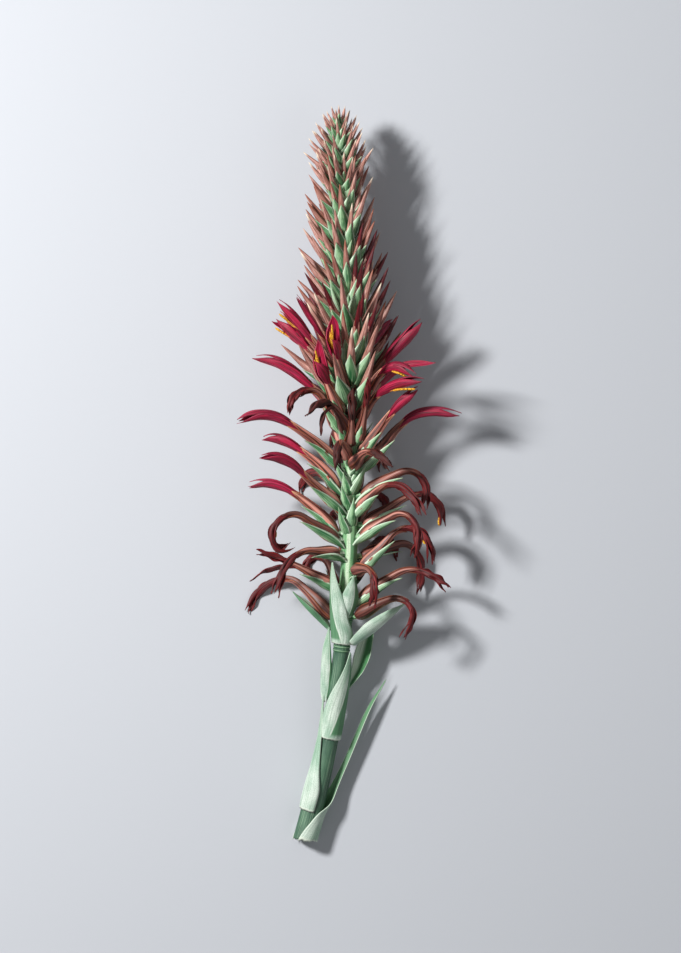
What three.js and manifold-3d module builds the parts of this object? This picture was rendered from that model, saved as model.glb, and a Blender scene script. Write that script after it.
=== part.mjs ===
// Pitcairnia latifolia: one cut flowering stem, laid down on a flat surface.
// Millimetres. +Y runs along the stem towards its tip, +Z is up, and the surface is z = 0.
// The stem rests on the sheath at its cut end and on the petals of the flowers under it.
import * as THREE from 'three';
import Module from 'manifold-3d';

const wasm = await Module();
wasm.setup();

// The air between neighbours, the finest detail kept, the angle from one bud to the next, and
// the place on the surface that becomes the origin
const gap = 0.3;
const finest = 0.11;
const goldenAngle = 137.5;
const originShift = { side: -0.72, along: 201.3 };

// The stem: [distance along it, sideways, height of its middle, radius]
const stemCourse = [
  [1.6, -25.1, 7.2, 6.2],
  [12, -22.2, 7.6, 6.2],
  [27, -18.5, 9.2, 5.9],
  [56.7, -11.4, 12.5, 5.0],
  [84.5, -7.4, 16, 4.5],
  [108.5, -4.4, 19, 4.3],
  [139, -1.6, 23, 4.3],
  [171.7, 0, 26.5, 4.3],
  [209.8, 0, 29.5, 3.7],
  [242.5, 0, 31.5, 3.3],
  [280.7, 0, 33, 2.8],
  [313.4, -2.2, 34, 2.4],
  [351.5, -3.8, 34.5, 1.9],
  [378.8, -5.5, 34.5, 1.4],
  [396, -6, 34, 0.7],
];
const stemSides = 10;
const stemStep = 11;
const budSides = 3;
const coreSides = 6;
const coreStep = 15;
const cutEnd = 1.6;
const stalkTop = 232;
const stemTip = 396;

// Rings at the joints: [distance along the stem, how far they stand out, half length]
const jointRings = [
  [54.4, 0.45, 1.6],
  [107, 0.5, 1.7],
  [123, 0.35, 1.2],
];

// Large sheathing leaves: turn round the stem, and rows of [along the stem, back from its middle,
// radius of the leaf's curve, half angle of the curve, roll of the leaf about its own length]
const sheathThickness = 0.9;
const edgeGrowth = 8;
const sheaths = [
  { turn: -20, rows: [[1, 7.4, 7.4, 142, 0], [10, 7.4, 7.4, 112, 0], [18, 8, 7.2, 82, 0],
    [24, 9.4, 5.6, 62, -16], [32, 10.3, 3.9, 50, -30], [45, 12.9, 2.9, 48, -30], [60, 16.3, 2.6, 47, -30],
    [76, 21.4, 2.2, 44, -30], [92, 28.7, 2, 5, -30]] },
  { turn: 168, rows: [[17.4, 7.4, 7.4, 86, 0], [24, 7.7, 7.5, 90, 0], [30, 7.6, 7.3, 90, 0],
    [41, 7.1, 6.7, 66, 0], [57, 6.9, 6.3, 38, 0], [68, 7, 5.9, 26, 0], [76, 7.1, 5.4, 16, 0],
    [82, 7.3, 5, 4, 0]] },
  { turn: 50, rows: [[57.4, 6.3, 6.3, 112, 0], [64.5, 6.6, 6.6, 109, 0], [73, 6.9, 6.7, 102, 0],
    [82, 7.4, 6.4, 80, 0], [90, 7.8, 6, 52, 0], [98, 8, 5.5, 26, 0], [106, 8, 5, 5, 0]] },
  { turn: 165, rows: [[77, 6.4, 4, 14, -40], [80, 6.8, 4, 38, -40], [84.5, 7.6, 4, 62, -40],
    [90, 8.3, 3.9, 72, -40], [97.5, 8.9, 3.9, 72, -40], [104, 9.2, 3.7, 60, -40], [110.5, 8.9, 3.4, 36, -40],
    [117.5, 8.4, 3, 5, -40]] },
  { turn: -38, rows: [[82, 6.2, 3, 26, -30], [86.5, 8.8, 3, 36, -30], [90, 11, 3.6, 52, -30],
    [95.4, 14.2, 4.6, 62, -30], [103.5, 16.5, 5.6, 66, -30], [111.7, 18, 4.8, 58, -30],
    [124, 21.6, 3, 6, -30]] },
  { turn: 132, rows: [[109.6, 6.2, 6.2, 106, 0], [115, 7, 6.8, 104, 0], [123, 8.8, 6.9, 76, 0],
    [133.5, 10.9, 5.9, 68, 0], [144, 12.7, 4.4, 44, 0], [155, 13.8, 3.5, 6, 0]] },
];
const sheathArcPoints = 6;
const boatArcPoints = 5;

// Boat-shaped leaves that carry the lowest flowers: legs are [heading from the stem, length]
const boats = [
  { along: 109, turn: 22, out: 2.5, legs: [[52, 12], [42, 14], [40, 14]], half: 6, spread: 88 },
  { along: 124, turn: 76, out: 1, legs: [[26, 8], [12, 9], [2, 9]], half: 5, spread: 62 },
  { along: 115, turn: 192, out: 3.3, legs: [[54, 10], [52, 11], [44, 9]], half: 4.4, spread: 80 },
];
const boatThickness = 1;
const boatShape = [[0, 0.5], [0.2, 0.85], [0.42, 1], [0.74, 0.6], [0.9, 0.2]];

// Flowers that show from above. The calyx and each petal are legs of [heading, length], and the
// girth is how broad the petals are
const flowers = [
  { along: 206, turn: 165, calyx: [[42, 17], [54, 18]],
    petals: [[[58, 10], [84, 12], [110, 12]]], fresh: true, girth: 1.1 },
  { along: 193, turn: 185, calyx: [[34, 14], [50, 15]],
    petals: [[[56, 10], [70, 9], [100, 6]]], fresh: true },
  { along: 184, turn: 152, calyx: [[50, 16], [49, 13]],
    petals: [[[46, 8], [66, 13], [92, 10]]], fresh: true },
  { along: 169, turn: 178, calyx: [[42, 16], [52, 16]],
    petals: [[[60, 8], [77, 9], [100, 11]]], fresh: true, girth: 0.9 },
  { along: 166, turn: 158, calyx: [[60, 16], [56, 17]],
    petals: [[[117, 7], [152, 9], [200, 8], [262, 5], [300, 5]]] },
  { along: 159, turn: 145, calyx: [[84, 12], [83, 13]], petals: [[[116, 8], [146, 9], [160, 14]]] },
  { along: 140, turn: 172, calyx: [[64, 8], [62, 18]],
    petals: [[[72, 9], [78, 7], [76, 7]], [[96, 10], [104, 9], [132, 8]]] },
  { along: 122, turn: 204, calyx: [[52, 21], [60, 15]], petals: [[[112, 6], [128, 14], [158, 13]]] },
  { along: 211, turn: 32, calyx: [[38, 17], [39, 14]],
    petals: [[[46, 10], [54, 14]]], fresh: true, girth: 0.9 },
  { along: 204, turn: 8, calyx: [[43, 17], [37, 17]], petals: [[[52, 8], [80, 11], [100, 16]]], fresh: true },
  { along: 190, turn: 15, calyx: [[55, 18], [66, 16]], petals: [[[128, 6], [165, 7], [192, 10]]] },
  { along: 182, turn: 42, calyx: [[44, 11], [52, 13]], petals: [[[80, 7], [110, 12], [144, 16]]] },
  { along: 174, turn: 350, calyx: [[57, 17], [57, 15]], petals: [[[84, 9], [135, 9], [172, 12]]] },
  { along: 168, turn: 24, calyx: [[53, 16], [59, 15]], petals: [[[138, 9], [174, 10], [198, 8]]] },
  { along: 150, turn: 5, calyx: [[39, 19], [36, 12]], petals: [[[76, 6], [113, 8], [146, 8], [173, 10]]] },
  { along: 157, turn: 336, calyx: [[72, 15], [76, 18]], petals: [[[150, 8], [172, 10], [186, 10]]] },
  { along: 150, turn: 62, calyx: [[72, 10], [86, 10]], petals: [[[140, 7], [184, 8], [196, 7]]] },
  { along: 133, turn: 12, calyx: [[46, 18], [54, 18]], petals: [[[100, 9], [114, 9], [128, 6]]] },
  { along: 125, turn: 28, calyx: [[54, 16], [62, 14]],
    petals: [[[105, 5], [140, 6], [185, 6], [205, 6], [200, 5]]], girth: 0.8 },
  { along: 256, turn: 170, calyx: [[41, 13], [40, 12]],
    petals: [[[38, 17], [46, 12]]], fresh: true, stamens: true },
  { along: 260, turn: 135, calyx: [[44, 12], [43, 11]],
    petals: [[[43, 15], [42, 16]]], fresh: true, girth: 0.55 },
  { along: 252, turn: 190, calyx: [[44, 14], [44, 12]],
    petals: [[[46, 12], [45, 13]]], fresh: true, stamens: true, girth: 1.25 },
  { along: 232, turn: 131, calyx: [[34, 15], [32, 11]],
    petals: [[[26, 13], [18, 11]], [[40, 11], [52, 10]]], fresh: true, stamens: true, girth: 1.5 },
  { along: 233, turn: 176, calyx: [[37, 12], [48, 9]],
    petals: [[[48, 16], [60, 11], [84, 12]]], fresh: true, girth: 1.1 },
  { along: 246, turn: 113, calyx: [[36, 14], [30, 11]],
    petals: [[[26, 12], [12, 12]], [[42, 9], [54, 9]]], fresh: true, stamens: true, girth: 1.5 },
  { along: 225, turn: 152, calyx: [[30, 16], [34, 14]], petals: [[[98, 6], [115, 6], [150, 6], [176, 5]]] },
  { along: 246, turn: 12, calyx: [[39, 12], [38, 10]],
    petals: [[[38, 9], [46, 10], [42, 12]]], fresh: true, girth: 1.2 },
  { along: 240, turn: 35, calyx: [[42, 13], [36, 10]],
    petals: [[[68, 12], [120, 13]], [[72, 12], [80, 14], [90, 13]]], fresh: true, stamens: true },
  { along: 230, turn: 45, calyx: [[38, 12], [48, 9]],
    petals: [[[66, 14], [76, 12], [88, 12]]], fresh: true, stamens: true },
  { along: 218, turn: 87, calyx: [[30, 7], [18, 6]],
    petals: [[[8, 8], [6, 7], [22, 7]]], sway: 16, girth: 1.5 },
  { along: 225, turn: 109, calyx: [[42, 12], [46, 9]],
    petals: [[[72, 8], [104, 8], [132, 8]], [[95, 8], [160, 9], [185, 7]]], sway: -40 },
  { along: 219, turn: 58, calyx: [[34, 12], [30, 10]],
    petals: [[[24, 10], [22, 10]]], sway: -24, girth: 0.8 },
  { along: 211, turn: 104, calyx: [[52, 11], [62, 9]],
    petals: [[[122, 6], [172, 7], [180, 5]]], girth: 1.15 },
  { along: 206, turn: 74, calyx: [[54, 11], [62, 9]], petals: [[[100, 7], [118, 7], [130, 7]]], sway: 44 },
];

// Flowers on the underside, which the stem lies on: they press to the surface
const hiddenFlowers = 12;
const hiddenStart = 132;
const hiddenStep = 12;
const hiddenTurns = [238, 302, 250, 296, 228, 284, 262];
const hiddenTwist = 4;
const hiddenSway = 14;
const hiddenCalyx = [[34, 13], [40, 13]];
const hiddenFresh = [[50, 11], [62, 12]];
const hiddenWithered = [[80, 8], [125, 8], [160, 8]];
const freshFrom = 215;

// Shape of a flower. The calyx is rows of [fraction of its length, share of its radius], the
// petals are rows of [fraction of their length, share of their radius], and the second tip and
// the stamens are rows of [fraction of the petals, drop below them, radius]
const calyxRadius = 3.2;
const calyxStandOff = 2.1;
const calyxShape = [[0, 0.56], [0.22, 1], [0.6, 0.64]];
const calyxBelly = 0.3;
const calyxTaper = 0.45;
const mouthShare = 0.5;
const sepalTip = 2.4;
const sepalNotch = -1;
const flowerSides = 6;
const slimSides = 4;
const freshRadius = 2.5;
const witheredRadius = 1.6;
const petalRoot = [0.02, 1.25];
const petalShape = [[0.3, 0.86], [0.55, 1.06], [0.82, 0.66]];
const petalTipLift = 0.8;
const secondPetalRoot = [0.93, 1];
const splitShape = [[0.6, 0.2, 0.5], [0.82, 1.6, 0.45]];
const splitEnd = [0.97, 3];
const stamenShape = [[0.2, 1.2, 0.6], [0.42, 3, 1]];
const stamenEnd = [0.66, 4.6];
const restHeight = 0.9;
const walkStep = 1.5;

// Bracts: rows of [fraction of the length, share of the half width], and the height of the
// folded edges as a share of the half width
const longBract = [[0, 0.7], [0.3, 1], [0.68, 0.62]];
const shortBract = [[0, 0.75], [0.36, 1]];
const bractHalfThickness = 0.5;
const bractClearance = 0.6;
const rootDepth = 1.2;
const flowerBractSize = { half: 3, fold: 0.5, below: 5.2, curl: 6, most: 84 };
const flowerBractLow = { along: 190, length: 25, lean: 14 };
const flowerBractHigh = { along: 240, length: 17, lean: 8 };
const lowestBract = 130;

// Beads that stand for what is already in place when a bract or bud is bent clear of it
const beadSpacing = 3;
const leafBeadRadius = 0.8;
const bractBeadShare = 0.4;

// Buds: [distance along the stem, length, heading, radius]
const budTable = [
  [238, 44, 41, 2.5],
  [266, 42, 36.5, 2.4],
  [292, 37, 32.5, 2.2],
  [308, 35, 31, 2.1],
  [324, 32, 32.5, 2],
  [343, 28, 35, 1.8],
  [362, 23, 37, 1.5],
  [374, 20, 41, 1.25],
  [386, 14, 31, 1.05],
  [395, 8, 5, 0.9],
];
const firstBud = 236;
const lastBud = 394;
const budSpacing = 1.7;
const firstTurn = 40;
const budShape = [[0, 0.55], [0.36, 1.15]];
const budCurl = 4;
const leanToRight = 4;
const coreExtra = 1.2;

// The bracts between the buds
const leafySpacing = 4;
const leafyEnd = 384;
const leafySize = { half: 2.6, fold: 0.4, length: 0.26, lean: 4, curl: 8 };

// Ways to bend a bract or bud clear of the flowers: [turn round the stem, lean outward]
const bends = [0, 12, -12, 24, -24, 36, -36].flatMap((aside) => [0, 9, -9].map((lean) => [aside, lean]));
const enoughRoom = 0.5;
const leastRoom = -0.2;
const roomFractions = [0.4, 0.6, 0.8, 1];

// Bracts on the front of the stem between the flowers: [distance along the stem, turn,
// heading, length]
const frontBracts = [
  [168, 106, 20, 19],
  [172, 62, 24, 20],
  [181, 128, 26, 18],
  [189, 112, 25, 17],
  [190, 57, 25, 21],
  [194, 42, 44, 18],
  [195, 135, 22, 19],
  [205, 88, 18, 18],
  [217, 34, 35, 18],
  [219, 137, 30, 17],
  [220, 74, 20, 23],
  [221, 155, 45, 20],
  [241, 150, 33, 22],
  [243, 105, 25, 14],
  [245, 38, 35, 28],
  [249, 62, 28, 19],
  [250, 140, 34, 17],
  [254, 98, 18, 22],
  [257, 118, 22, 17],
];
const frontSize = { half: 3.4, fold: 0.35, curl: 12 };

const degrees = Math.PI / 180;

// A smooth value between the rows of a table, read at a distance along the stem
function readTable(rows, at, column) {
  const last = rows.length - 1;
  let i = 0;
  while (i < last - 1 && at > rows[i + 1][0]) i += 1;
  const slope = (p, q) => (q[column] - p[column]) / (q[0] - p[0]);
  const [a, b] = [rows[i], rows[i + 1]];
  const slopeA = slope(rows[Math.max(i - 1, 0)], b);
  const slopeB = slope(a, rows[Math.min(i + 2, last)]);
  const span = b[0] - a[0];
  const t = THREE.MathUtils.clamp((at - a[0]) / span, 0, 1);
  const blend = t * t * (3 - 2 * t);
  const bend = (t * (1 - t) ** 2 * slopeA - t * t * (1 - t) * slopeB) * span;
  return a[column] + (b[column] - a[column]) * blend + bend;
}

function stemPoint(along) {
  return new THREE.Vector3(readTable(stemCourse, along, 1), along, readTable(stemCourse, along, 2));
}

function stemRadius(along) {
  return readTable(stemCourse, along, 3);
}

function coreRadius(along) {
  return stemRadius(along) + coreExtra;
}

// Directions at a place on the stem: forward along it, outward at a turn round it, and across
function stemFrame(along, turn) {
  const forward = stemPoint(along + 1).sub(stemPoint(along - 1)).normalize();
  const right = new THREE.Vector3(1, 0, 0).addScaledVector(forward, -forward.x).normalize();
  const up = right.clone().cross(forward);
  const outward = right.multiplyScalar(Math.cos(turn * degrees));
  outward.addScaledVector(up, Math.sin(turn * degrees));
  const across = forward.clone().cross(outward);
  return { forward, outward, across };
}

// A closed solid through rings of points. Ring points run from one edge over the inner face to
// the other edge and back over the outer face, and both faces are split alike.
function loft(rings, tip) {
  const n = rings[0].length;
  const points = rings.flat();
  const triangles = [];
  for (let i = 0; i < rings.length - 1; i += 1) {
    for (let k = 0; k < n; k += 1) {
      const a = i * n + k;
      const b = i * n + (k + 1) % n;
      const c = b + n;
      const d = a + n;
      if (k < n / 2) triangles.push(a, b, c, a, c, d);
      else triangles.push(a, b, d, b, c, d);
    }
  }
  const cap = (base, flip) => {
    for (let k = 0; k < n / 2; k += 1) {
      const u0 = base + k;
      const u1 = base + k + 1;
      const l0 = base + (n - k) % n;
      const l1 = base + n - k - 1;
      const quad = [];
      if (u1 !== l1) quad.push([u0, l1, u1]);
      if (u0 !== l0) quad.push([u0, l0, l1]);
      for (const t of quad) triangles.push(...(flip ? [t[0], t[2], t[1]] : t));
    }
  };
  cap(0, false);
  const lastRing = (rings.length - 1) * n;
  if (tip) {
    points.push(tip);
    for (let k = 0; k < n; k += 1) triangles.push(lastRing + k, lastRing + (k + 1) % n, points.length - 1);
  } else {
    cap(lastRing, true);
  }
  return solidOf(points, triangles);
}

// A solid from points and triangles, turned inside out if its faces point in
function solidOf(points, triangles) {
  let volume = 0;
  for (let i = 0; i < triangles.length; i += 3) {
    const [a, b, c] = [0, 1, 2].map((j) => points[triangles[i + j]]);
    volume += a.dot(b.clone().cross(c));
  }
  if (volume < 0) {
    for (let i = 0; i < triangles.length; i += 3) {
      [triangles[i], triangles[i + 1]] = [triangles[i + 1], triangles[i]];
    }
  }
  const vertProperties = new Float32Array(points.flatMap((p) => [p.x, p.y, p.z]));
  const triVerts = new Uint32Array(triangles);
  return new wasm.Manifold(new wasm.Mesh({ numProp: 3, vertProperties, triVerts }));
}

// A ring of points round a middle, wider across than it is deep
function ovalRing(middle, side, inner, halfWidth, halfDepth, count) {
  return Array.from({ length: count }, (_, k) => {
    const angle = Math.PI - (k / count) * 2 * Math.PI;
    return middle.clone()
      .addScaledVector(side, Math.cos(angle) * halfWidth)
      .addScaledVector(inner, Math.sin(angle) * halfDepth);
  });
}

// A ring of points in the shape of a thin arc, its back towards outward
function arcRing(centre, outward, across, radius, spread, thickness, count) {
  const facet = Math.cos((spread / (count - 1)) * degrees);
  const arc = (r, from, to) => Array.from({ length: count }, (_, k) => {
    const angle = THREE.MathUtils.lerp(from, to, k / (count - 1)) * degrees;
    return centre.clone()
      .addScaledVector(outward, (Math.cos(angle) * r) / facet)
      .addScaledVector(across, (Math.sin(angle) * r) / facet);
  });
  return [...arc(radius - thickness, -spread, spread), ...arc(radius, spread, -spread)];
}

// The course of an organ: it leaves the start at its first leg's heading from the stem's
// direction and bends smoothly from leg to leg. Sway turns it aside as it goes, and nothing
// reaches lower than the surface.
function walk(start, frame, legs, sway, floor) {
  const total = lengthOf(legs);
  let done = 0;
  const marks = legs.map(([heading, length]) => {
    done += length;
    return [done - length / 2, heading];
  });
  const headingAt = (s) => {
    const next = marks.findIndex((m) => m[0] > s);
    if (next === 0) return marks[0][1];
    if (next < 0) return marks[marks.length - 1][1];
    const [a, b] = [marks[next - 1], marks[next]];
    return THREE.MathUtils.lerp(a[1], b[1], (s - a[0]) / (b[0] - a[0]));
  };
  const steps = Math.max(4, Math.round(total / walkStep));
  const step = total / steps;
  const stations = [];
  const at = start.clone();
  for (let j = 0; j <= steps; j += 1) {
    const s = j * step;
    const heading = headingAt(s + (j < steps ? step / 2 : 0)) * degrees;
    const aside = sway * (s / total) * degrees;
    const outward = frame.outward.clone().multiplyScalar(Math.cos(aside))
      .addScaledVector(frame.across, Math.sin(aside));
    const direction = frame.forward.clone().multiplyScalar(Math.cos(heading))
      .addScaledVector(outward, Math.sin(heading));
    const side = frame.across.clone().multiplyScalar(Math.cos(aside))
      .addScaledVector(frame.outward, -Math.sin(aside));
    const middle = at.clone();
    middle.z = Math.max(middle.z, floor);
    stations.push({ middle, direction, side, inner: direction.clone().cross(side) });
    at.addScaledVector(direction, step);
  }
  return stations;
}

function lengthOf(legs) {
  return legs.reduce((sum, leg) => sum + leg[1], 0);
}

// The course of a flower, from beside the stem through its calyx to the tip of its petals
function flowerCourse({ along, turn, calyx, sway = 0 }, legs) {
  const frame = stemFrame(along, turn);
  const start = stemPoint(along).addScaledVector(frame.outward, stemRadius(along) + calyxStandOff);
  return walk(start, frame, [...calyx, ...legs], sway, restHeight);
}

// The station at a fraction of a course
function stationAt(stations, fraction) {
  const place = THREE.MathUtils.clamp(fraction, 0, 1) * (stations.length - 1);
  const i = Math.min(Math.floor(place), stations.length - 2);
  const [a, b] = [stations[i], stations[i + 1]];
  const mix = (key) => a[key].clone().lerp(b[key], place - i);
  return {
    middle: mix('middle'),
    direction: mix('direction').normalize(),
    side: mix('side').normalize(),
    inner: mix('inner').normalize(),
  };
}

// The stem, with its joint rings, between two distances along it
function stemSolid(from, to, spacing, sides, closed, radiusAt) {
  const places = [];
  const count = Math.round((to - from) / spacing);
  for (let i = 0; i <= count; i += 1) places.push([from + ((to - from) * i) / count, 0]);
  for (const [middle, stand, half] of jointRings) {
    if (middle - half <= from || middle + half >= to) continue;
    for (let i = places.length - 1; i >= 0; i -= 1) {
      if (Math.abs(places[i][0] - middle) < half * 2) places.splice(i, 1);
    }
    places.push([middle - half * 1.4, 0], [middle - half * 0.7, stand], [middle + half * 0.7, stand],
      [middle + half * 1.4, 0]);
  }
  places.sort((a, b) => a[0] - b[0]);
  const rings = places.map(([along, stand]) => {
    const { outward, across } = stemFrame(along, 0);
    const radius = radiusAt(along) + stand;
    return ovalRing(stemPoint(along), outward, across, radius, radius, sides);
  });
  return closed ? loft(rings) : loft(rings, stemPoint(to + 2));
}

function petalRadius({ fresh, girth = 1 }) {
  return girth * (fresh ? freshRadius : witheredRadius);
}

// Round beads along a flower, which stand for it when others are bent clear
function flowerBeads(flower) {
  const calyxLength = lengthOf(flower.calyx);
  return flower.petals.flatMap((legs) => {
    const course = flowerCourse(flower, legs);
    const length = calyxLength + lengthOf(legs);
    const count = Math.round(length / beadSpacing);
    return Array.from({ length: count + 1 }, (_, k) => {
      const s = (k / count) * length;
      const petal = petalRadius(flower);
      const calyx = calyxRadius * (1 - calyxTaper * Math.abs(s / calyxLength - calyxBelly));
      return { middle: stationAt(course, k / count).middle, radius: s < calyxLength ? calyx : petal };
    });
  });
}

// Round beads over a large leaf
function leafBeads(rings) {
  return rings.flat().map((middle) => ({ middle, radius: leafBeadRadius }));
}

// The least room between a course and what is already in place
function roomAlong(course, halfDepth) {
  let least = Infinity;
  for (const fraction of roomFractions) {
    const { middle } = stationAt(course, fraction);
    for (const bead of beads) {
      least = Math.min(least, middle.distanceTo(bead.middle) - bead.radius - halfDepth);
    }
  }
  return least;
}

// The first way to bend a course that clears what is in place, or else the clearest. Without
// any room there is no course.
function bentClear(courseFor, halfDepth) {
  let best = { room: -Infinity };
  for (const [aside, lean] of bends) {
    const course = courseFor(aside, lean);
    const room = roomAlong(course, halfDepth);
    if (room > best.room) best = { course, room };
    if (room > enoughRoom) break;
  }
  if (best.room < leastRoom) return null;
  for (const fraction of roomFractions) {
    beads.push({ middle: stationAt(best.course, fraction).middle, radius: halfDepth });
  }
  return best.course;
}

// A lance-shaped leaf with a keeled back, rooted at a distance from the stem's middle
function bract(along, turn, root, legs, { half, fold }, rows) {
  const course = bentClear((aside, lean) => {
    const frame = stemFrame(along, turn + aside);
    const start = stemPoint(along).addScaledVector(frame.outward, root);
    const leaning = legs.map(([heading, length]) => [heading + lean, length]);
    return walk(start, frame, leaning, 0, restHeight + bractClearance);
  }, half * bractBeadShare);
  if (!course) return [];
  const rings = rows.map(([fraction, width]) => {
    const { middle, side, inner } = stationAt(course, fraction);
    const edge = half * width;
    const lift = edge * fold;
    return [
      middle.clone().addScaledVector(side, -edge).addScaledVector(inner, lift),
      middle.clone().addScaledVector(inner, bractHalfThickness),
      middle.clone().addScaledVector(side, edge).addScaledVector(inner, lift),
      middle.clone().addScaledVector(inner, -bractHalfThickness),
    ];
  });
  return [loft(rings, stationAt(course, 1).middle)];
}

// The rings of a large sheathing leaf, which wraps the stem at its base and leaves it later
function sheathSections({ turn, rows }, grow) {
  return rows.slice(0, -1).map(([along, back, radius, spread, roll]) => {
    const { outward } = stemFrame(along, turn);
    const rolled = stemFrame(along, turn + roll);
    const centre = stemPoint(along).addScaledVector(outward, back).addScaledVector(rolled.outward, -radius);
    return arcRing(centre, rolled.outward, rolled.across, radius + grow, spread + grow * edgeGrowth,
      sheathThickness + grow * 2, sheathArcPoints);
  });
}

function sheath(leaf, grow = 0) {
  const { turn, rows } = leaf;
  const [last, back] = rows[rows.length - 1];
  const { outward } = stemFrame(last, turn);
  const tip = stemPoint(last + grow).addScaledVector(outward, back - sheathThickness / 2);
  return loft(sheathSections(leaf, grow), tip);
}

function boatCourse({ along, turn, out, legs }) {
  const frame = stemFrame(along, turn);
  const start = stemPoint(along).addScaledVector(frame.outward, stemRadius(along) + gap + out);
  return walk(start, frame, legs, 0, restHeight);
}

// The rings of a boat-shaped leaf that holds a flower
function boatSections(leaf, grow) {
  const { half, spread } = leaf;
  const course = boatCourse(leaf);
  return boatShape.map(([fraction, width]) => {
    const { middle, side, inner } = stationAt(course, fraction);
    const radius = (half * width) / Math.sin(spread * degrees) + boatThickness;
    const centre = middle.clone().addScaledVector(inner, radius);
    return arcRing(centre, inner.clone().negate(), side, radius + grow, spread + grow * edgeGrowth,
      boatThickness + grow * 2, boatArcPoints);
  });
}

function boat(leaf, grow = 0) {
  const tip = stationAt(boatCourse(leaf), 1);
  return loft(boatSections(leaf, grow), tip.middle.addScaledVector(tip.inner, boatThickness));
}

// Rings round a course, from rows of [fraction of the course, radius]
function roundRings(course, rows, sides, grow) {
  return rows.map(([fraction, radius]) => {
    const { middle, side, inner } = stationAt(course, fraction);
    return ovalRing(middle, side, inner, radius + grow, radius + grow, sides);
  });
}

// A slim pointed piece that drops below the petals as it goes
function hangingSpindle(course, mouth, rows, [endFraction, endDrop], grow) {
  const placeAt = (fraction, drop) => {
    const station = stationAt(course, mouth + (1 - mouth) * fraction);
    station.middle.addScaledVector(station.inner, -drop);
    return station;
  };
  const rings = rows.map(([fraction, drop, radius]) => {
    const { middle, side, inner } = placeAt(fraction, drop);
    return ovalRing(middle, side, inner, radius + grow, radius + grow, slimSides);
  });
  return loft(rings, placeAt(endFraction, endDrop).middle);
}

// A whole flower beside the stem: a bulbous calyx that narrows to a mouth with three pointed
// tips, and out of it the petals, a curved band that splits in two
function bloom(flower, grow = 0) {
  const calyxLength = lengthOf(flower.calyx);
  const radius = petalRadius(flower);
  const splitRows = splitShape.map(([fraction, drop, share]) => [fraction, drop, share * radius]);
  const pieces = flower.petals.flatMap((legs, index) => {
    const course = flowerCourse(flower, legs);
    const mouth = calyxLength / (calyxLength + lengthOf(legs));
    const beyond = (fraction) => mouth + (1 - mouth) * fraction;
    const petalRows = petalShape.map(([fraction, share]) => [beyond(fraction), share * radius]);
    const tip = stationAt(course, 1);
    tip.middle.addScaledVector(tip.inner, petalTipLift);
    const split = hangingSpindle(course, mouth, splitRows, splitEnd, grow);
    if (index > 0) {
      const rows = [[mouth * secondPetalRoot[0], secondPetalRoot[1]], ...petalRows];
      return [loft(roundRings(course, rows, slimSides, grow), tip.middle), split];
    }
    const calyxRows = calyxShape.map(([fraction, share]) => [fraction * mouth, share * calyxRadius]);
    const mouthRow = [mouth, mouthShare * calyxRadius];
    const rootRow = [beyond(petalRoot[0]), petalRoot[1]];
    const rings = roundRings(course, [...calyxRows, mouthRow, rootRow, ...petalRows], flowerSides, grow);
    const lip = stationAt(course, mouth);
    rings[calyxRows.length].forEach((point, k) => {
      point.addScaledVector(lip.direction, k % 2 ? sepalTip : sepalNotch);
    });
    const body = loft(rings, tip.middle);
    if (!flower.stamens) return [body, split];
    return [body, split, hangingSpindle(course, mouth, stamenShape, stamenEnd, grow)];
  });
  return wasm.Manifold.union(pieces);
}

// The flowers under the stem, by rule: withered low down, fresh nearer the tip
function undersideFlower(k) {
  const along = hiddenStart + k * hiddenStep;
  const turn = hiddenTurns[k % hiddenTurns.length] + (k % 3) * hiddenTwist;
  const fresh = along > freshFrom;
  const petals = [fresh ? hiddenFresh : hiddenWithered];
  return { along, turn, calyx: hiddenCalyx, petals, fresh, sway: turn < 270 ? hiddenSway : -hiddenSway };
}

// How far a bud or bract of the spike leans out: the spike nods a little to the right
function spikeHeading(along, turn) {
  return readTable(budTable, along, 2) - leanToRight * Math.cos(turn * degrees);
}

// A closed pointed bud
function bud(along, turn) {
  const [length, radius] = [1, 3].map((column) => readTable(budTable, along, column));
  const course = bentClear((aside, lean) => {
    const frame = stemFrame(along, turn + aside);
    const heading = spikeHeading(along, turn + aside) + lean;
    const start = stemPoint(along).addScaledVector(frame.outward, coreRadius(along) - rootDepth);
    const legs = [[heading + budCurl, length / 2], [heading - budCurl, length / 2]];
    return walk(start, frame, legs, 0, restHeight);
  }, radius);
  if (!course) return [];
  const profile = budShape.map(([fraction, share]) => [fraction, share * radius]);
  const rings = roundRings(course, profile, budSides, 0);
  return [loft(rings, stationAt(course, 1).middle)];
}

// The bract under a flower, spread wider low on the stem
function flowerBract({ along, turn, calyx: [[heading]] }) {
  const [low, high] = [flowerBractLow, flowerBractHigh];
  const upper = THREE.MathUtils.smoothstep(along, low.along, high.along);
  const length = THREE.MathUtils.lerp(low.length, high.length, upper);
  const { below, curl, most } = flowerBractSize;
  const first = Math.min(heading + THREE.MathUtils.lerp(low.lean, high.lean, upper), most);
  const legs = [[first, length / 2], [first - curl, length / 2]];
  const root = stemRadius(along - below) - rootDepth;
  return bract(along - below, turn, root, legs, flowerBractSize, shortBract);
}

// The front bracts between two distances along the stem
function bractsInFront(from, to) {
  const { curl } = frontSize;
  return frontBracts
    .filter(([along]) => along > from && along < to)
    .flatMap(([along, turn, heading, length]) => {
      const legs = [[heading + curl / 2, length / 2], [heading - curl / 2, length / 2]];
      return bract(along, turn, stemRadius(along) - rootDepth, legs, frontSize, longBract);
    });
}

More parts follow.
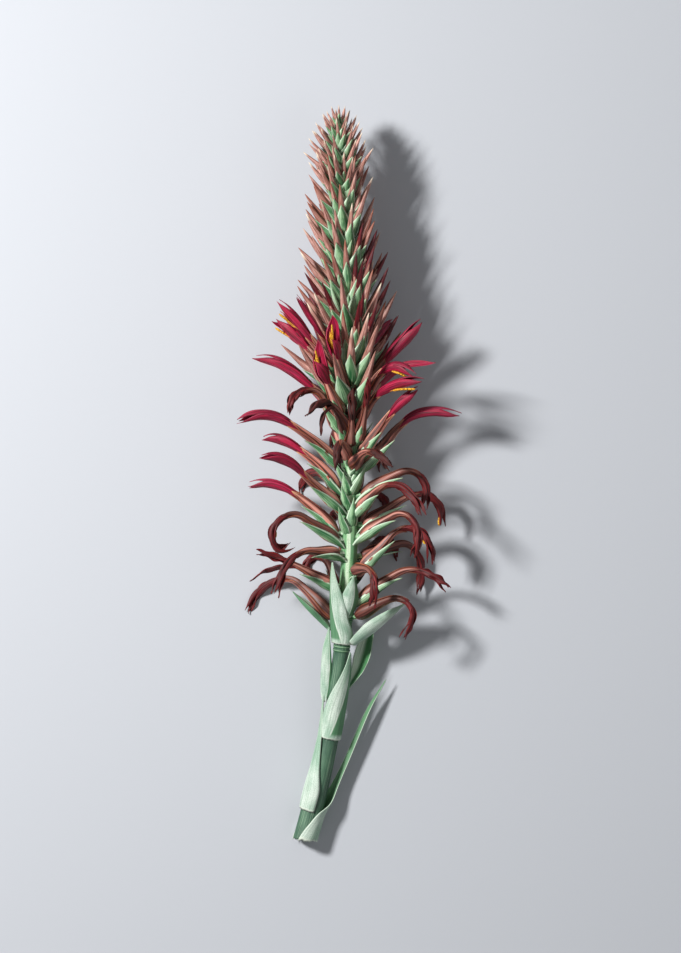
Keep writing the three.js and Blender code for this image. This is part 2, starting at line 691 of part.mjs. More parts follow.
function flowerStalk() {
  const stem = stemSolid(cutEnd, stalkTop, stemStep, stemSides, true, stemRadius);
  const front = bractsInFront(0, stalkTop);
  const below = allFlowers
    .filter(({ along }) => along > lowestBract && along < stalkTop)
    .flatMap(flowerBract);
  return wasm.Manifold.union([stem, ...below, ...front]);
}

function budSpike() {
  const pieces = [stemSolid(stalkTop + gap, stemTip, coreStep, coreSides, false, coreRadius)];
  pieces.push(...bractsInFront(stalkTop, stemTip));
  let turn = firstTurn;
  for (let along = firstBud; along < lastBud; along += budSpacing) {
    pieces.push(...bud(along, turn));
    turn += goldenAngle;
  }
  for (let along = firstBud; along < leafyEnd; along += leafySpacing) {
    const length = readTable(budTable, along, 1) * leafySize.length;
    const heading = spikeHeading(along, turn) + leafySize.lean;
    const legs = [[heading, length], [heading - leafySize.curl, length]];
    pieces.push(...bract(along, turn, coreRadius(along) - rootDepth, legs, leafySize, shortBract));
    turn += goldenAngle;
  }
  return wasm.Manifold.union(pieces);
}

// A slab under the surface, which trims what would sink below it
function belowSurface() {
  const size = 1000;
  const corners = [0, 1, 2, 3, 4, 5, 6, 7].map((k) => new THREE.Vector3(
    (k & 1 ? 1 : -1) * size,
    (k & 2 ? 1 : -1) * size,
    k & 4 ? 0 : -size,
  ));
  const faces = [0, 2, 3, 0, 3, 1, 4, 5, 7, 4, 7, 6, 0, 1, 5, 0, 5, 4, 2, 6, 7, 2, 7, 3, 0, 4, 6, 0, 6, 2,
    1, 3, 7, 1, 7, 5];
  return solidOf(corners, faces);
}

const ground = belowSurface();

// The largest body of a solid that is trimmed at the surface
function tidy(solid) {
  const bodies = solid.subtract(ground).simplify(finest).decompose();
  return bodies.reduce((best, body) => (body.volume() > best.volume() ? body : best));
}

function boxesMeet(a, b) {
  const [p, q] = [a.boundingBox(), b.boundingBox()];
  return [0, 1, 2].every((i) => p.min[i] < q.max[i] && q.min[i] < p.max[i]);
}

// The solid with a gap cut round each neighbour that it would cross
function clearOf(solid, neighbours) {
  let result = solid;
  for (const neighbour of neighbours) {
    if (boxesMeet(result, neighbour)) result = result.subtract(neighbour);
  }
  return result;
}

function meshOf(name, solid, colour, roughness) {
  const { vertProperties, triVerts } = solid.getMesh();
  const geometry = new THREE.BufferGeometry();
  geometry.setAttribute('position', new THREE.BufferAttribute(vertProperties, 3));
  geometry.setIndex(new THREE.BufferAttribute(triVerts, 1));
  geometry.computeVertexNormals();
  const material = new THREE.MeshStandardMaterial({ color: colour, roughness, metalness: 0 });
  const mesh = new THREE.Mesh(geometry, material);
  mesh.name = name;
  return mesh;
}

const colours = { stalk: 0x5f8c66, sheath: 0xb9d3bc, fresh: 0xa81436, withered: 0x6a2a22, buds: 0x9c5f50 };

const allFlowers = [...flowers, ...Array.from({ length: hiddenFlowers }, (_, k) => undersideFlower(k))];
const beads = [
  ...allFlowers.flatMap(flowerBeads),
  ...sheaths.flatMap((leaf) => leafBeads(sheathSections(leaf, gap))),
  ...boats.flatMap((leaf) => leafBeads(boatSections(leaf, gap))),
];

const plant = new THREE.Group();
const placed = [];
const blooms = allFlowers.map((flower, index) => {
  const name = `bloom_${String(index + 1).padStart(2, '0')}`;
  const solid = tidy(clearOf(bloom(flower), placed));
  placed.push(bloom(flower, gap));
  return meshOf(name, solid, flower.fresh ? colours.fresh : colours.withered, 0.6);
});
const leaves = [
  ...sheaths.map((leaf) => [sheath(leaf), sheath(leaf, gap)]),
  ...boats.map((leaf) => [boat(leaf), boat(leaf, gap)]),
].map(([solid, grown], index) => {
  const cleared = tidy(clearOf(solid, placed));
  placed.push(grown);
  return meshOf(`sheath_bract_${index + 1}`, cleared, colours.sheath, 0.55);
});

plant.add(meshOf('flower_stalk', tidy(clearOf(flowerStalk(), placed)), colours.stalk, 0.6));
plant.add(meshOf('bud_spike', tidy(clearOf(budSpike(), placed)), colours.buds, 0.6));
plant.add(...leaves);
plant.add(...blooms);
plant.position.set(-originShift.side, -originShift.along, 0);

export default plant;
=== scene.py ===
"""Looks of one cut flowering stem of pitcairnia latifolia, laid down on a pale table.

Every table of shapes is in millimetres, in the frame of the plant's own stem: y runs along the
stem from its cut end, z is up from the table, and a turn round the stem is in degrees with 0 to
the right and 90 up. A mesh is moved to the part's origin and turned into metres when it is made.
"""
import math
import random

import bpy
import numpy as np
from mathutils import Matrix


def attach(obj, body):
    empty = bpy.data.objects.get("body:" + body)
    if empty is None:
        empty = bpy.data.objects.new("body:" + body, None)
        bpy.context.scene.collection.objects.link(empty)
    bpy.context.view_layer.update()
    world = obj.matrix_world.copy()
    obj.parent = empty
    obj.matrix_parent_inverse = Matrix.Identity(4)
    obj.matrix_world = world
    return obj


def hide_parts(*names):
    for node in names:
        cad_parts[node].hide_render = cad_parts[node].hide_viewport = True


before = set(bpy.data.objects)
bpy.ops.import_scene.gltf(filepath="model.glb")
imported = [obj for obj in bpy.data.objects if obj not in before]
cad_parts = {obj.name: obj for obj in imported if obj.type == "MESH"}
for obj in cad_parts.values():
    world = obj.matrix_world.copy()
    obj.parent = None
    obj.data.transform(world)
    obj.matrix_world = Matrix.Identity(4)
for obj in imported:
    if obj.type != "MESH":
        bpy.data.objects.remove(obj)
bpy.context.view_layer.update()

MM = 0.001
ORIGIN_SHIFT = (-0.72, 201.3)
GOLDEN_ANGLE = 137.5

# The view: straight down, as wide and high as the painting at the part's scale
PICTURE_PIXELS = (681, 953)
MM_PER_PIXEL = 0.545
PIXEL_OF_ORIGIN = (350, 845)
VIEW_PLANE = 30
CAMERA_HEIGHT = 3000
SENSOR = 36
FARTHEST_SEEN = 20000

# The table, the sky's light, and square lights: [name, place, width, power]
TABLE_REACH = 4000
SKY_COLOUR = (0.93, 0.96, 1.0, 1.0)
SKY_STRENGTH = 0.2
LIGHTS = [
    ["key_light", (-850, 420, 1050), 200, 26],
    ["fill_light", (900, -300, 1300), 900, 2],
]

# A point below this height is pressed up, so that nothing goes through the table
SOFT_FLOOR = 0.7

# The roughness of every coat, and the least length that a direction is worked out from
COAT_ROUGHNESS = 0.35
SMALLEST = 1e-9

# Marks that every surface carries for its material
MARKS = ("reach", "across", "tone", "inside")

# Finishes of a flower, of the stalk and the spike, and of a large leaf, by their place in its list
CALYX, PETAL, ANTHER, FILAMENT, PEDICEL = range(5)
STEM, BRACT, BUD, BUD_PETAL = range(4)
LEAF = 0

# Seeds of the random draws. A flower's seed is its own number
SHEATH_SEED = 100
BOAT_SEED = 200
STALK_SEED = 300
SPIKE_SEED = 400

# The stem: [distance along it, sideways, height of its middle, radius]
STEM_COURSE = [
    [1.6, -25.1, 7.2, 6.2],
    [12, -22.2, 7.6, 6.2],
    [27, -18.5, 9.2, 5.9],
    [56.7, -11.4, 12.5, 5.0],
    [84.5, -7.4, 16, 4.5],
    [108.5, -4.4, 19, 4.3],
    [139, -1.6, 23, 4.3],
    [171.7, 0, 26.5, 4.3],
    [209.8, 0, 29.5, 3.7],
    [242.5, 0, 31.5, 3.3],
    [280.7, 0, 33, 2.8],
    [313.4, -2.2, 34, 2.4],
    [351.5, -3.8, 34.5, 1.9],
    [378.8, -5.5, 34.5, 1.4],
    [396, -6, 34, 0.7],
]
CUT_END = 1.6
STALK_TOP = 232
STALK_MARGIN = 3
STEM_TIP = 396

# How much thicker the stem is inside the spike, and the gap between pieces that aren't fused
CORE_EXTRA = 1.2
JOINT_GAP = 0.3

# The stem's surface
STEM_SIDES = 40
STALK_SPACING = 0.5
SPIKE_SPACING = 2
STEM_RIDGES = 13
STEM_RIDGE = 0.07
STEM_POINT = 0.02

# Rings at the joints, each with a groove round its middle: [distance along the stem, how far the
# ring stands out, half length]
JOINT_RINGS = [
    [107, 0.5, 1.7],
    [123, 0.35, 1.2],
]
RING_SQUARENESS = 6
RING_GROOVE = 0.35
RING_GROOVE_DEPTH = 0.8

# Large sheathing leaves: turn round the stem, and rows of [along the stem, back from its middle,
# radius of the leaf's curve, half angle of the curve, roll of the leaf about its own length]
SHEATH_THICKNESS = 0.9
SHEATHS = [
    {"turn": -20, "rows": [[1, 7.4, 7.4, 142, 0], [10, 7.4, 7.4, 112, 0], [18, 8, 7.2, 82, 0],
     [24, 9.4, 5.6, 62, -16], [32, 10.3, 3.9, 50, -30], [45, 12.9, 2.9, 48, -30],
     [60, 16.3, 2.6, 47, -30], [76, 21.4, 2.2, 44, -30], [92, 28.7, 2, 5, -30]]},
    {"turn": 168, "rows": [[17.4, 7.4, 7.4, 86, 0], [24, 7.7, 7.5, 90, 0], [30, 7.6, 7.3, 90, 0],
     [41, 7.1, 6.7, 66, 0], [57, 6.9, 6.3, 38, 0], [68, 7, 5.9, 26, 0], [76, 7.1, 5.4, 16, 0],
     [82, 7.3, 5, 4, 0]]},
    {"turn": 50, "rows": [[57.4, 6.3, 6.3, 112, 0], [64.5, 6.6, 6.6, 109, 0], [73, 6.9, 6.7, 102, 0],
     [82, 7.4, 6.4, 80, 0], [90, 7.8, 6, 52, 0], [98, 8, 5.5, 26, 0], [106, 8, 5, 5, 0]]},
    {"turn": 165, "rows": [[77, 6.4, 4, 14, -40], [80, 6.8, 4, 38, -40], [84.5, 7.6, 4, 62, -40],
     [90, 8.3, 3.9, 72, -40], [97.5, 8.9, 3.9, 72, -40], [104, 9.2, 3.7, 60, -40], [110.5, 8.9, 3.4, 36, -40],
     [117.5, 8.4, 3, 5, -40]]},
    {"turn": -38, "rows": [[82, 6.2, 3, 26, -30], [86.5, 8.8, 3, 36, -30], [90, 11, 3.6, 52, -30],
     [95.4, 14.2, 4.6, 62, -30], [103.5, 16.5, 5.6, 66, -30], [111.7, 18, 4.8, 58, -30],
     [124, 21.6, 3, 6, -30]]},
    {"turn": 132, "rows": [[109.6, 6.2, 6.2, 106, 0], [115, 7, 6.8, 104, 0], [123, 8.8, 6.9, 76, 0],
     [133.5, 10.9, 5.9, 68, 0], [144, 12.7, 4.4, 44, 0], [155, 13.8, 3.5, 6, 0]]},
]

# The share of its thickness that a large leaf shows, and the rows and columns of its surface
SHEATH_SHOWN = 0.8
SHEATH_ROWS = 60
SHEATH_COLUMNS = 31

# The torn edge at the foot of each sheathing leaf, which is deep on the first alone
TEAR_DEPTH = 0.7
TEAR_REACH = 4
TEAR_WAVES = (9, 23)
SMALL_TEAR = 0.25

# Boat-shaped leaves that carry the lowest flowers: legs are [heading from the stem, length]
BOATS = [
    {"along": 109, "turn": 22, "out": 2.5, "legs": [[52, 12], [42, 14], [40, 14]], "half": 6, "spread": 88},
    {"along": 124, "turn": 76, "out": 1, "legs": [[26, 8], [12, 9], [2, 9]], "half": 5, "spread": 62},
    {"along": 115, "turn": 192, "out": 3.3, "legs": [[54, 10], [52, 11], [44, 9]], "half": 4.4, "spread": 80},
]
BOAT_THICKNESS = 1
BOAT_SHAPE = [[0, 0.5], [0.2, 0.85], [0.42, 1], [0.74, 0.6], [0.9, 0.2], [1, 0.03]]
BOAT_SHOWN = 0.7
BOAT_ROWS = 40
BOAT_COLUMNS = 21

# How the sheathing and boat-shaped leaves are coloured, in order: [side of the rib that is green, which is
# partly the leaf's own green and partly painted shade, place of the rib across the leaf at its base, where a
# painted highlight runs, how far it moves towards the tip, how green the inner face is at its middle, gain
# towards the tip, gain across it]
SHEATH_LOOKS = [
    [1, 1.3, 0, 0.9, 0, 0],
    [1, 1.3, 0, 0.9, 0, 0],
    [1, -0.42, 0.9, 0.9, 0, 0],
    [1, 0.62, 0.1, 0.9, 0, 0],
    [-1, 0.3, 0, 0.75, 0, -2],
    [-1, 0.38, -1.1, 0.2, 0, 0],
    [1, 0.2, 0.2, 0, 1.1, 0.5],
    [1, 0.1, 0.3, 0.2, 0, 0],
    [1, 0.2, 0.2, 0, 0.7, 0],
]


def flower(along, turn, calyx, *petals, fresh=False, stamens=False, sway=0, girth=1,
           pollen=None, parted=None, bract=1):
    """One row of the table of flowers.

    The calyx and each course of petals are legs of [heading from the stem, length]. Sway turns the
    flower aside along its length, girth is the share of its petals' usual radius, pollen is where
    its last anthers show, parted is how far its petals part, and bract is the share of its bract.
    """
    return {"along": along, "turn": turn, "calyx": calyx, "petals": petals, "fresh": fresh,
            "stamens": stamens, "sway": sway, "girth": girth, "pollen": pollen, "parted": parted,
            "bract": bract}


# A hooded flower: its inner petal arches over, and the two outer ones are short and narrow
HOOD_GIRTH = 1.5
HOOD_ENDS = [1, 0.74, 0.8]
HOOD_OPEN = [1.25, 0.6, 0.6]

# Flowers that show from above
FLOWERS = [
    flower(206, 165, [[42, 17], [54, 18]], [[58, 10], [84, 12], [110, 12]], fresh=True, girth=1.1),
    flower(193, 185, [[34, 14], [50, 15]], [[56, 10], [70, 9], [100, 6]], fresh=True),
    flower(184, 152, [[50, 16], [49, 13]], [[46, 8], [66, 13], [92, 10]], fresh=True),
    flower(169, 178, [[42, 16], [52, 16]], [[60, 8], [77, 9], [100, 11]], fresh=True, girth=0.9,
           parted=1.0),
    flower(166, 158, [[60, 16], [56, 17]], [[117, 7], [152, 9], [200, 8], [262, 5], [300, 5]],
           pollen=0.42, parted=1.2),
    flower(159, 145, [[84, 12], [83, 13]], [[116, 8], [146, 9], [160, 14]]),
    flower(140, 172, [[64, 8], [62, 18]], [[72, 9], [78, 7], [76, 7]], [[96, 10], [104, 9], [132, 8]]),
    flower(122, 204, [[52, 21], [60, 15]], [[112, 6], [128, 14], [158, 13]]),
    flower(211, 32, [[38, 17], [39, 14]], [[46, 10], [54, 14]], fresh=True, girth=0.9),
    flower(204, 8, [[43, 17], [37, 17]], [[52, 8], [80, 11], [100, 16]], fresh=True),
    flower(190, 15, [[55, 18], [66, 16]], [[128, 6], [165, 7], [192, 10]]),
    flower(182, 42, [[44, 11], [52, 13]], [[80, 7], [110, 12], [144, 16]]),
    flower(174, 350, [[57, 17], [57, 15]], [[84, 9], [135, 9], [172, 12]], pollen=0.86),
    flower(168, 24, [[53, 16], [59, 15]], [[138, 9], [174, 10], [198, 8]]),
    flower(150, 5, [[39, 19], [36, 12]], [[76, 6], [113, 8], [146, 8], [173, 10]], pollen=0.5),
    flower(157, 336, [[72, 15], [76, 18]], [[150, 8], [172, 10], [186, 10]]),
    flower(150, 62, [[72, 10], [86, 10]], [[140, 7], [184, 8], [196, 7]], bract=0.4),
    flower(133, 12, [[46, 18], [54, 18]], [[100, 9], [114, 9], [128, 6]]),
    flower(125, 28, [[54, 16], [62, 14]], [[105, 5], [140, 6], [185, 6], [205, 6], [200, 5]], girth=0.8),
    flower(256, 170, [[41, 13], [40, 12]], [[38, 17], [46, 12]], fresh=True, stamens=True),
    flower(260, 135, [[44, 12], [43, 11]], [[43, 15], [42, 16]], fresh=True, girth=0.55),
    flower(252, 190, [[44, 14], [44, 12]], [[46, 12], [45, 13]], fresh=True, stamens=True, girth=1.25,
           parted=2.4),
    flower(232, 131, [[34, 15], [32, 11]], [[26, 13], [18, 11]], [[40, 11], [52, 10]], fresh=True,
           stamens=True, girth=HOOD_GIRTH),
    flower(233, 176, [[37, 12], [48, 9]], [[48, 16], [60, 11], [84, 12]], fresh=True, girth=1.1),
    flower(246, 113, [[36, 14], [30, 11]], [[26, 12], [12, 12]], [[42, 9], [54, 9]], fresh=True,
           stamens=True, girth=HOOD_GIRTH),
    flower(225, 152, [[30, 16], [34, 14]], [[98, 6], [115, 6], [150, 6], [176, 5]]),
    flower(246, 12, [[39, 12], [38, 10]], [[38, 9], [46, 10], [42, 12]], fresh=True, girth=1.2),
    flower(240, 35, [[42, 13], [36, 10]], [[68, 12], [120, 13]], [[72, 12], [80, 14], [90, 13]],
           fresh=True, stamens=True),
    flower(230, 45, [[38, 12], [48, 9]], [[66, 14], [76, 12], [88, 12]], fresh=True, stamens=True),
    flower(218, 87, [[30, 7], [18, 6]], [[8, 8], [6, 7], [22, 7]], sway=16, girth=1.15, bract=0.5),
    flower(225, 109, [[42, 12], [46, 9]], [[72, 8], [104, 8], [132, 8]], [[95, 8], [160, 9], [185, 7]],
           sway=-40, bract=0.6),
    flower(219, 58, [[34, 12], [30, 10]], [[24, 10], [22, 10]], sway=-24, girth=0.8),
    flower(211, 104, [[52, 11], [62, 9]], [[122, 6], [172, 7], [180, 5]], bract=0.5),
    flower(206, 74, [[54, 11], [62, 9]], [[100, 7], [118, 7], [130, 7]], sway=44, bract=0.45),
]

# Flowers whose petals have dried almost black, by their numbers in the table
DARK_FLOWERS = [30, 31, 33, 34]

# Flowers on the underside, which the stem lies on: withered low down, fresh nearer the tip
HIDDEN_FLOWERS = 12
HIDDEN_START = 132
HIDDEN_STEP = 12
HIDDEN_TURNS = [238, 302, 250, 296, 228, 284, 262]
HIDDEN_TWIST = 4
STRAIGHT_DOWN = 270
HIDDEN_SWAY = 14
HIDDEN_CALYX = [[34, 13], [40, 13]]
HIDDEN_FRESH = [[50, 11], [62, 12]]
HIDDEN_WITHERED = [[80, 8], [125, 8], [160, 8]]
FRESH_FROM = 215

# How far a calyx stands off the stem, how thick it is, where it is thickest and how it tapers
CALYX_STAND_OFF = 2.1
CALYX_RADIUS = 3.2
CALYX_BELLY = 0.3
CALYX_TAPER = 0.45

# The lowest that the middle of an organ may lie, and the steps in which its course is walked
REST_HEIGHT = 0.9
WALK_STEP = 1.5
FINE_STEP = 0.5
FEWEST_STEPS = 4

# How fresh and withered flowers differ: the calyx and the petals are rows of [place from root to
# tip, share of the radius], tip is how far the sepals reach out of the calyx, flare is how far
# they part there, ripples are the fewest and the most, and crinkle is how deep they are
FRESH = {
    "calyx": [[0, 0.2], [0.03, 0.52], [0.1, 0.9], [0.22, 1.12], [0.4, 0.98], [0.6, 0.76], [0.8, 0.62],
              [1, 0.52]],
    "tip": 3.6,
    "flare": 0.35,
    "radius": 2.5,
    "petals": [[0, 0.42], [0.14, 0.52], [0.3, 0.82], [0.5, 1.04], [0.7, 1.06], [0.86, 0.84], [1, 0.36]],
    "ripples": (1.2, 2),
    "crinkle": 0.08,
    "parted": 0.14,
    "spread_tips": 1,
}
WITHERED = {
    "calyx": [[0, 0.2], [0.03, 0.6], [0.09, 0.98], [0.2, 1.16], [0.34, 0.98], [0.52, 0.68], [0.76, 0.5],
              [1, 0.42]],
    "tip": 5,
    "flare": 0.9,
    "radius": 1.6,
    "petals": [[0, 0.5], [0.16, 0.64], [0.36, 1.08], [0.6, 1.22], [0.8, 1.16], [1, 0.6]],
    "ripples": (2.2, 3.6),
    "crinkle": 0.34,
    "parted": 0.8,
    "spread_tips": 1.6,
}

# Sepals: the spread is rows of [place from root to tip, half angle round the calyx]
SEPAL_ROWS = 26
SEPAL_COLUMNS = 9
SEPAL_SPREAD = [[0, 62], [0.25, 74], [0.6, 78], [0.76, 72], [0.88, 42], [1, 4]]
SEPAL_OVERLAP = 0.26
SEPAL_KEEL = 0.26
KEEL_NARROWNESS = 2.4
KEEL_SHARPNESS = 1.5
SEPAL_CREASE = 0.16
CREASE_PLACE = 0.5
CREASE_WIDTH = 0.12
SEPAL_THICKNESS = 0.32
SEPAL_TURN = 30
SEPAL_STRAY = 25
FLARE_LEAST = 0.2
FLARE_FROM = 0.8

# Where a flare or a parting would be whole, which is a little beyond the tip
JUST_PAST_TIP = 1.05

# The short foot under the calyx
PEDICEL_DEPTH = 0.4
PEDICEL_REACH = 1.2
PEDICEL_RADIUS = 1.9
PEDICEL_TAPER = 0.3
PEDICEL_ROWS = 6
PEDICEL_SIDES = 12

# Petals: the spread is rows of [place from root to tip, half angle round the flower], and each of
# the three tips bends by [inward, aside]
PETAL_ROWS = 34
PETAL_COLUMNS = 11
PETAL_THICKNESS = 0.24
PETAL_ROOT = -0.2
PETAL_SPREAD = [[0, 78], [0.55, 74], [0.74, 60], [0.9, 34], [1, 5]]
PETAL_TIPS = [[0.8, 0.2], [-1.6, 0.5], [-0.5, -0.6]]
PETAL_ENDS = [1, 0.975, 0.95]
PETAL_LAP = 0.16
PETAL_STRAY = 15
FRESH_TWIST = 14
WITHERED_TWIST = (50, 130)
PARTING_FROM = 0.62
FOLDS = (3, 5)
FOLD_SHARE = 0.5
RIPPLE_SLANT = 2.2
RIPPLES_FROM = 0.15
RIPPLES_FULL = 0.5

# Stamens: where the anthers end along the petals, how far they hang out, and their length
OPEN_STAMENS = {"first": 0.44, "last": 0.66, "drop": 4.2, "length": 6.5}
HOOD_STAMENS = {"first": 0.3, "last": 0.62, "drop": 2.6, "length": 8}
STAMEN_COUNT = 5
STAMEN_SPACING = 0.7
STAMEN_STRAY = 0.3
STAMEN_DROOP = 0.8
FILAMENT_RADIUS = 0.2
FILAMENT_START = 0.02
FILAMENT_ROWS = 16
FILAMENT_SIDES = 6
ANTHER_RADIUS = 0.55
ANTHER_ROWS = 9
ANTHER_SIDES = 8
ANTHER_LOBES = 0.18
ANTHER_END = 0.02
ANTHER_GAP = 0.8

# The last anthers that show in a withered flower
OLD_ANTHER_DROPS = (1.5, 2.1)
OLD_ANTHER_SPACING = 0.05
OLD_ANTHER_LENGTH = 3.6

# How deep bracts and buds are rooted in the stem, and how far above the table bracts stay
ROOT_DEPTH = 1.2
BRACT_CLEARANCE = 0.6

# Bracts: the shapes are rows of [place from root to tip, share of the half width]
BRACT_ROWS = 16
BRACT_COLUMNS = 9
BRACT_THICKNESS = 0.5
BRACT_THIN_EDGE = 0.6
BRACT_CUP = 1.5
BRACT_WAVE = 0.12
THIN_TIP = 0.5
LONG_BRACT = [[0, 0.66], [0.16, 0.92], [0.28, 1], [0.46, 0.84], [0.66, 0.52], [0.84, 0.2], [1, 0.03]]
SHORT_BRACT = [[0, 0.72], [0.18, 0.94], [0.36, 1], [0.58, 0.72], [0.8, 0.36], [1, 0.03]]

# The wave along a leaf's edges, in radians: how far it runs, and where it starts
WAVE_RUN = (6, 11)
WAVE_START = (0, 6)

# Room that is kept for the bract under each flower while the other bracts and the buds are placed
KEPT_ROOM = {"half": 3, "below": 5.2, "curl": 6, "most": 84}
KEPT_ROOM_LOW = {"along": 190, "length": 25, "lean": 14}
KEPT_ROOM_HIGH = {"along": 240, "length": 17, "lean": 8}
LOWEST_BRACT = 130

# The bract that holds a flower or a bud. Start and end are places along the flower or bud, girth
# and taper give the body that it lies against, clear is the gap to it, lean is how far its tip
# stands off, half is its half width, cup is how deep it is, below is how far under the flower or
# bud it leaves the stem, and roll turns it towards the top
CRADLE_ROWS = 13
CRADLE_COLUMNS = 9
CRADLE_STATIONS = 7
CRADLE_SHAPE = [[0, 0.8], [0.2, 0.98], [0.4, 1], [0.65, 0.68], [0.85, 0.3], [1, 0.03]]
CRADLE_THICKNESS = 0.4
CRADLE_THIN_EDGE = 0.5
CRADLE_CUP = 1.7
CRADLE_WAVE = 0.1
FLOWER_CRADLE = {"start": 0.1, "girth": 3.3, "taper": 0.5, "clear": 0.8, "half": 3.3, "cup": 0.55,
                 "below": 5}
FLOWER_CRADLE_END = 0.62
FLOWER_CRADLE_END_LOW = 0.22
FLOWER_CRADLE_LOW = (180, 235)
FLOWER_CRADLE_LEAN = 2.6
FLOWER_CRADLE_ROLL = 48
FLOWER_CRADLE_ROLL_ABOVE = -0.3
BUD_CRADLE = {"start": 0.1, "taper": 0.3, "clear": 0.5, "cup": 0.5, "below": 2.6, "lean": 0.6,
              "roll": 30}
BUD_CRADLE_END = (0.44, 0.58)
BUD_CRADLE_END_UP = 0.12
BUD_CRADLE_HALF = 1.5
BUD_CRADLE_HALF_UP = 0.5
BUD_CRADLE_UP = (0.2, 0.9)

# Beads that stand for what is already in place when a bract or bud is bent clear of it. A bract's
# are a share of its half width, and a leaf's stand off it by the joint gap, which at its edges is
# so many degrees for each millimetre
BEAD_SPACING = 3
LEAF_BEAD_RADIUS = 0.8
BRACT_BEAD_SHARE = 0.4
EDGE_GROWTH = 8
SHEATH_ARC_POINTS = 6
BOAT_ARC_POINTS = 5

# Ways to bend a bract or bud clear of the flowers: [turn round the stem, lean outward]
BENDS = [(aside, lean) for aside in (0, 12, -12, 24, -24, 36, -36) for lean in (0, 9, -9)]
ENOUGH_ROOM = 0.5
LEAST_ROOM = -0.2
ROOM_FRACTIONS = [0.4, 0.6, 0.8, 1]

# Buds: [distance along the stem, length, heading, radius]
BUD_TABLE = [
    [238, 44, 41, 2.5],
    [266, 42, 36.5, 2.4],
    [292, 37, 32.5, 2.2],
    [308, 35, 31, 2.1],
    [324, 32, 32.5, 2],
    [343, 28, 35, 1.8],
    [362, 23, 37, 1.5],
    [374, 20, 41, 1.25],
    [386, 14, 31, 1.05],
    [395, 8, 5, 0.9],
]
FIRST_BUD = 236
LAST_BUD = 394
BUD_SPACING = 1.7
FIRST_TURN = 40
BUD_CURL = 4
LEAN_TO_RIGHT = 4
BUD_ROWS = 16
BUD_SIDES = 12
BUD_SEAM = 0.16
BUD_SEAM_STRAY = 2
BUD_SEAM_TWIST = 2
BUD_PROFILE = [[0, 0.4], [0.1, 0.72], [0.32, 1.02], [0.55, 0.9], [0.78, 0.56], [0.92, 0.28], [1, 0.05]]

# Buds that fill the gaps, most in the tuft at the tip: [from, to, spacing, size]
MORE_BUDS = [[248, 346, 2.4, 0.95], [346, 394, 1.1, 1.08]]
MORE_BUDS_ROOM = -2

# The tone of a bud, which is pale in the tuft
PALE_BUDS_FROM = 352
PALE_TONES = (0, 0.4)
BUD_TONES = (0.2, 1)

# Buds that show dark petals: most on the right and the front, few on the left, and those lower
# down. The sepals end at a share of the bud, and the petals start from another and are slimmer
OPENING_RIGHT = {"from": 236, "to": 312, "chance": 0.6}
OPENING_LEFT = {"from": 236, "to": 288, "chance": 0.3}
RIGHT_SIDE_FROM = -0.2
OPENING_PROFILE = [[0, 0.4], [0.12, 0.74], [0.4, 1.02], [0.7, 0.84], [0.9, 0.62], [1, 0.3]]
OPENING_SHARE = 0.78
BUD_PETAL_FROM = 0.5
BUD_PETAL_PROFILE_FROM = 0.3
BUD_PETAL_GIRTH = 0.78

# The small bracts between the buds
LEAFY_SPACING = 4
LEAFY_END = 384
LEAFY = {"half": 2.6, "fold": 0.4, "length": 0.26, "lean": 4, "curl": 8}

# Bracts on the front of the stem: [distance along the stem, turn, heading, length]
FRONT_BRACTS = [
    [168, 140, 16, 19],
    [172, 44, 20, 20],
    [181, 128, 26, 18],
    [189, 112, 25, 17],
    [190, 57, 25, 21],
    [194, 42, 44, 18],
    [195, 135, 22, 19],
    [205, 88, 18, 18],
    [217, 58, 30, 18],
    [219, 137, 30, 17],
    [220, 74, 20, 23],
    [221, 132, 40, 20],
    [241, 150, 33, 22],
    [243, 105, 25, 14],
    [245, 38, 35, 28],
    [249, 62, 28, 19],
    [250, 140, 34, 17],
    [254, 98, 18, 22],
    [257, 118, 22, 17],
]
FRONT = {"half": 3.4, "fold": 0.35, "curl": 12}

# Broad bracts between the dark withered flowers: [distance along the stem, turn, heading, length]
GAP_BRACTS = [
    [209, 128, 34, 22],
    [214, 112, 20, 19],
    [213, 64, 26, 19],
    [222, 122, 26, 24],
    [226, 66, 22, 22],
    [231, 106, 18, 20],
]

# Broad bracts up the front of the stem, in a loose zigzag that narrows with the buds
COLUMN_FROM = 190
COLUMN_TO = 386
COLUMN_SPACING = 5
COLUMN_TURNS = [97, 70, 115, 84, 130]
COLUMN_HEADINGS = [9, 19]
COLUMN_LENGTH = 0.6
COLUMN_LONGEST = 18
COLUMN = {"half": 3.2, "fold": 0.35, "curl": 10}
COLUMN_NARROWS_FROM = 262
COLUMN_NARROWING = 0.4
COLUMN_BEAD_SHARE = 0.15
COLUMN_ROOM = -2.5


# Reading the tables

def read_table(rows, at, column=1):
    """A smooth value between the rows of a table, at one place or many."""
    table = np.array(rows, float)
    x, y = table[:, 0], table[:, column]
    last = len(x) - 1
    ahead = np.minimum(np.arange(last + 1) + 1, last)
    behind = np.maximum(np.arange(last + 1) - 1, 0)
    slopes = (y[ahead] - y[behind]) / (x[ahead] - x[behind])
    i = np.clip(np.searchsorted(x[1:-1], at, side="left"), 0, last - 1)
    span = x[i + 1] - x[i]
    t = np.clip((at - x[i]) / span, 0, 1)
    blend = t * t * (3 - 2 * t)
    bend = (t * (1 - t) ** 2 * slopes[i] - t * t * (1 - t) * slopes[i + 1]) * span
    return y[i] + (y[i + 1] - y[i]) * blend + bend


def smooth_step(value, low, high):
    """Nought up to one value, one from the other, and smooth between."""
    t = np.clip((value - low) / (high - low), 0, 1)
    return t * t * (3 - 2 * t)


def unit(vectors):
    """The vectors, each made one long."""
    return vectors / np.linalg.norm(vectors, axis=-1, keepdims=True)


def stem_point(along):
    """The middle of the stem at a distance along it."""
    return np.stack([read_table(STEM_COURSE, along, 1), np.asarray(along, float),
                     read_table(STEM_COURSE, along, 2)], axis=-1)


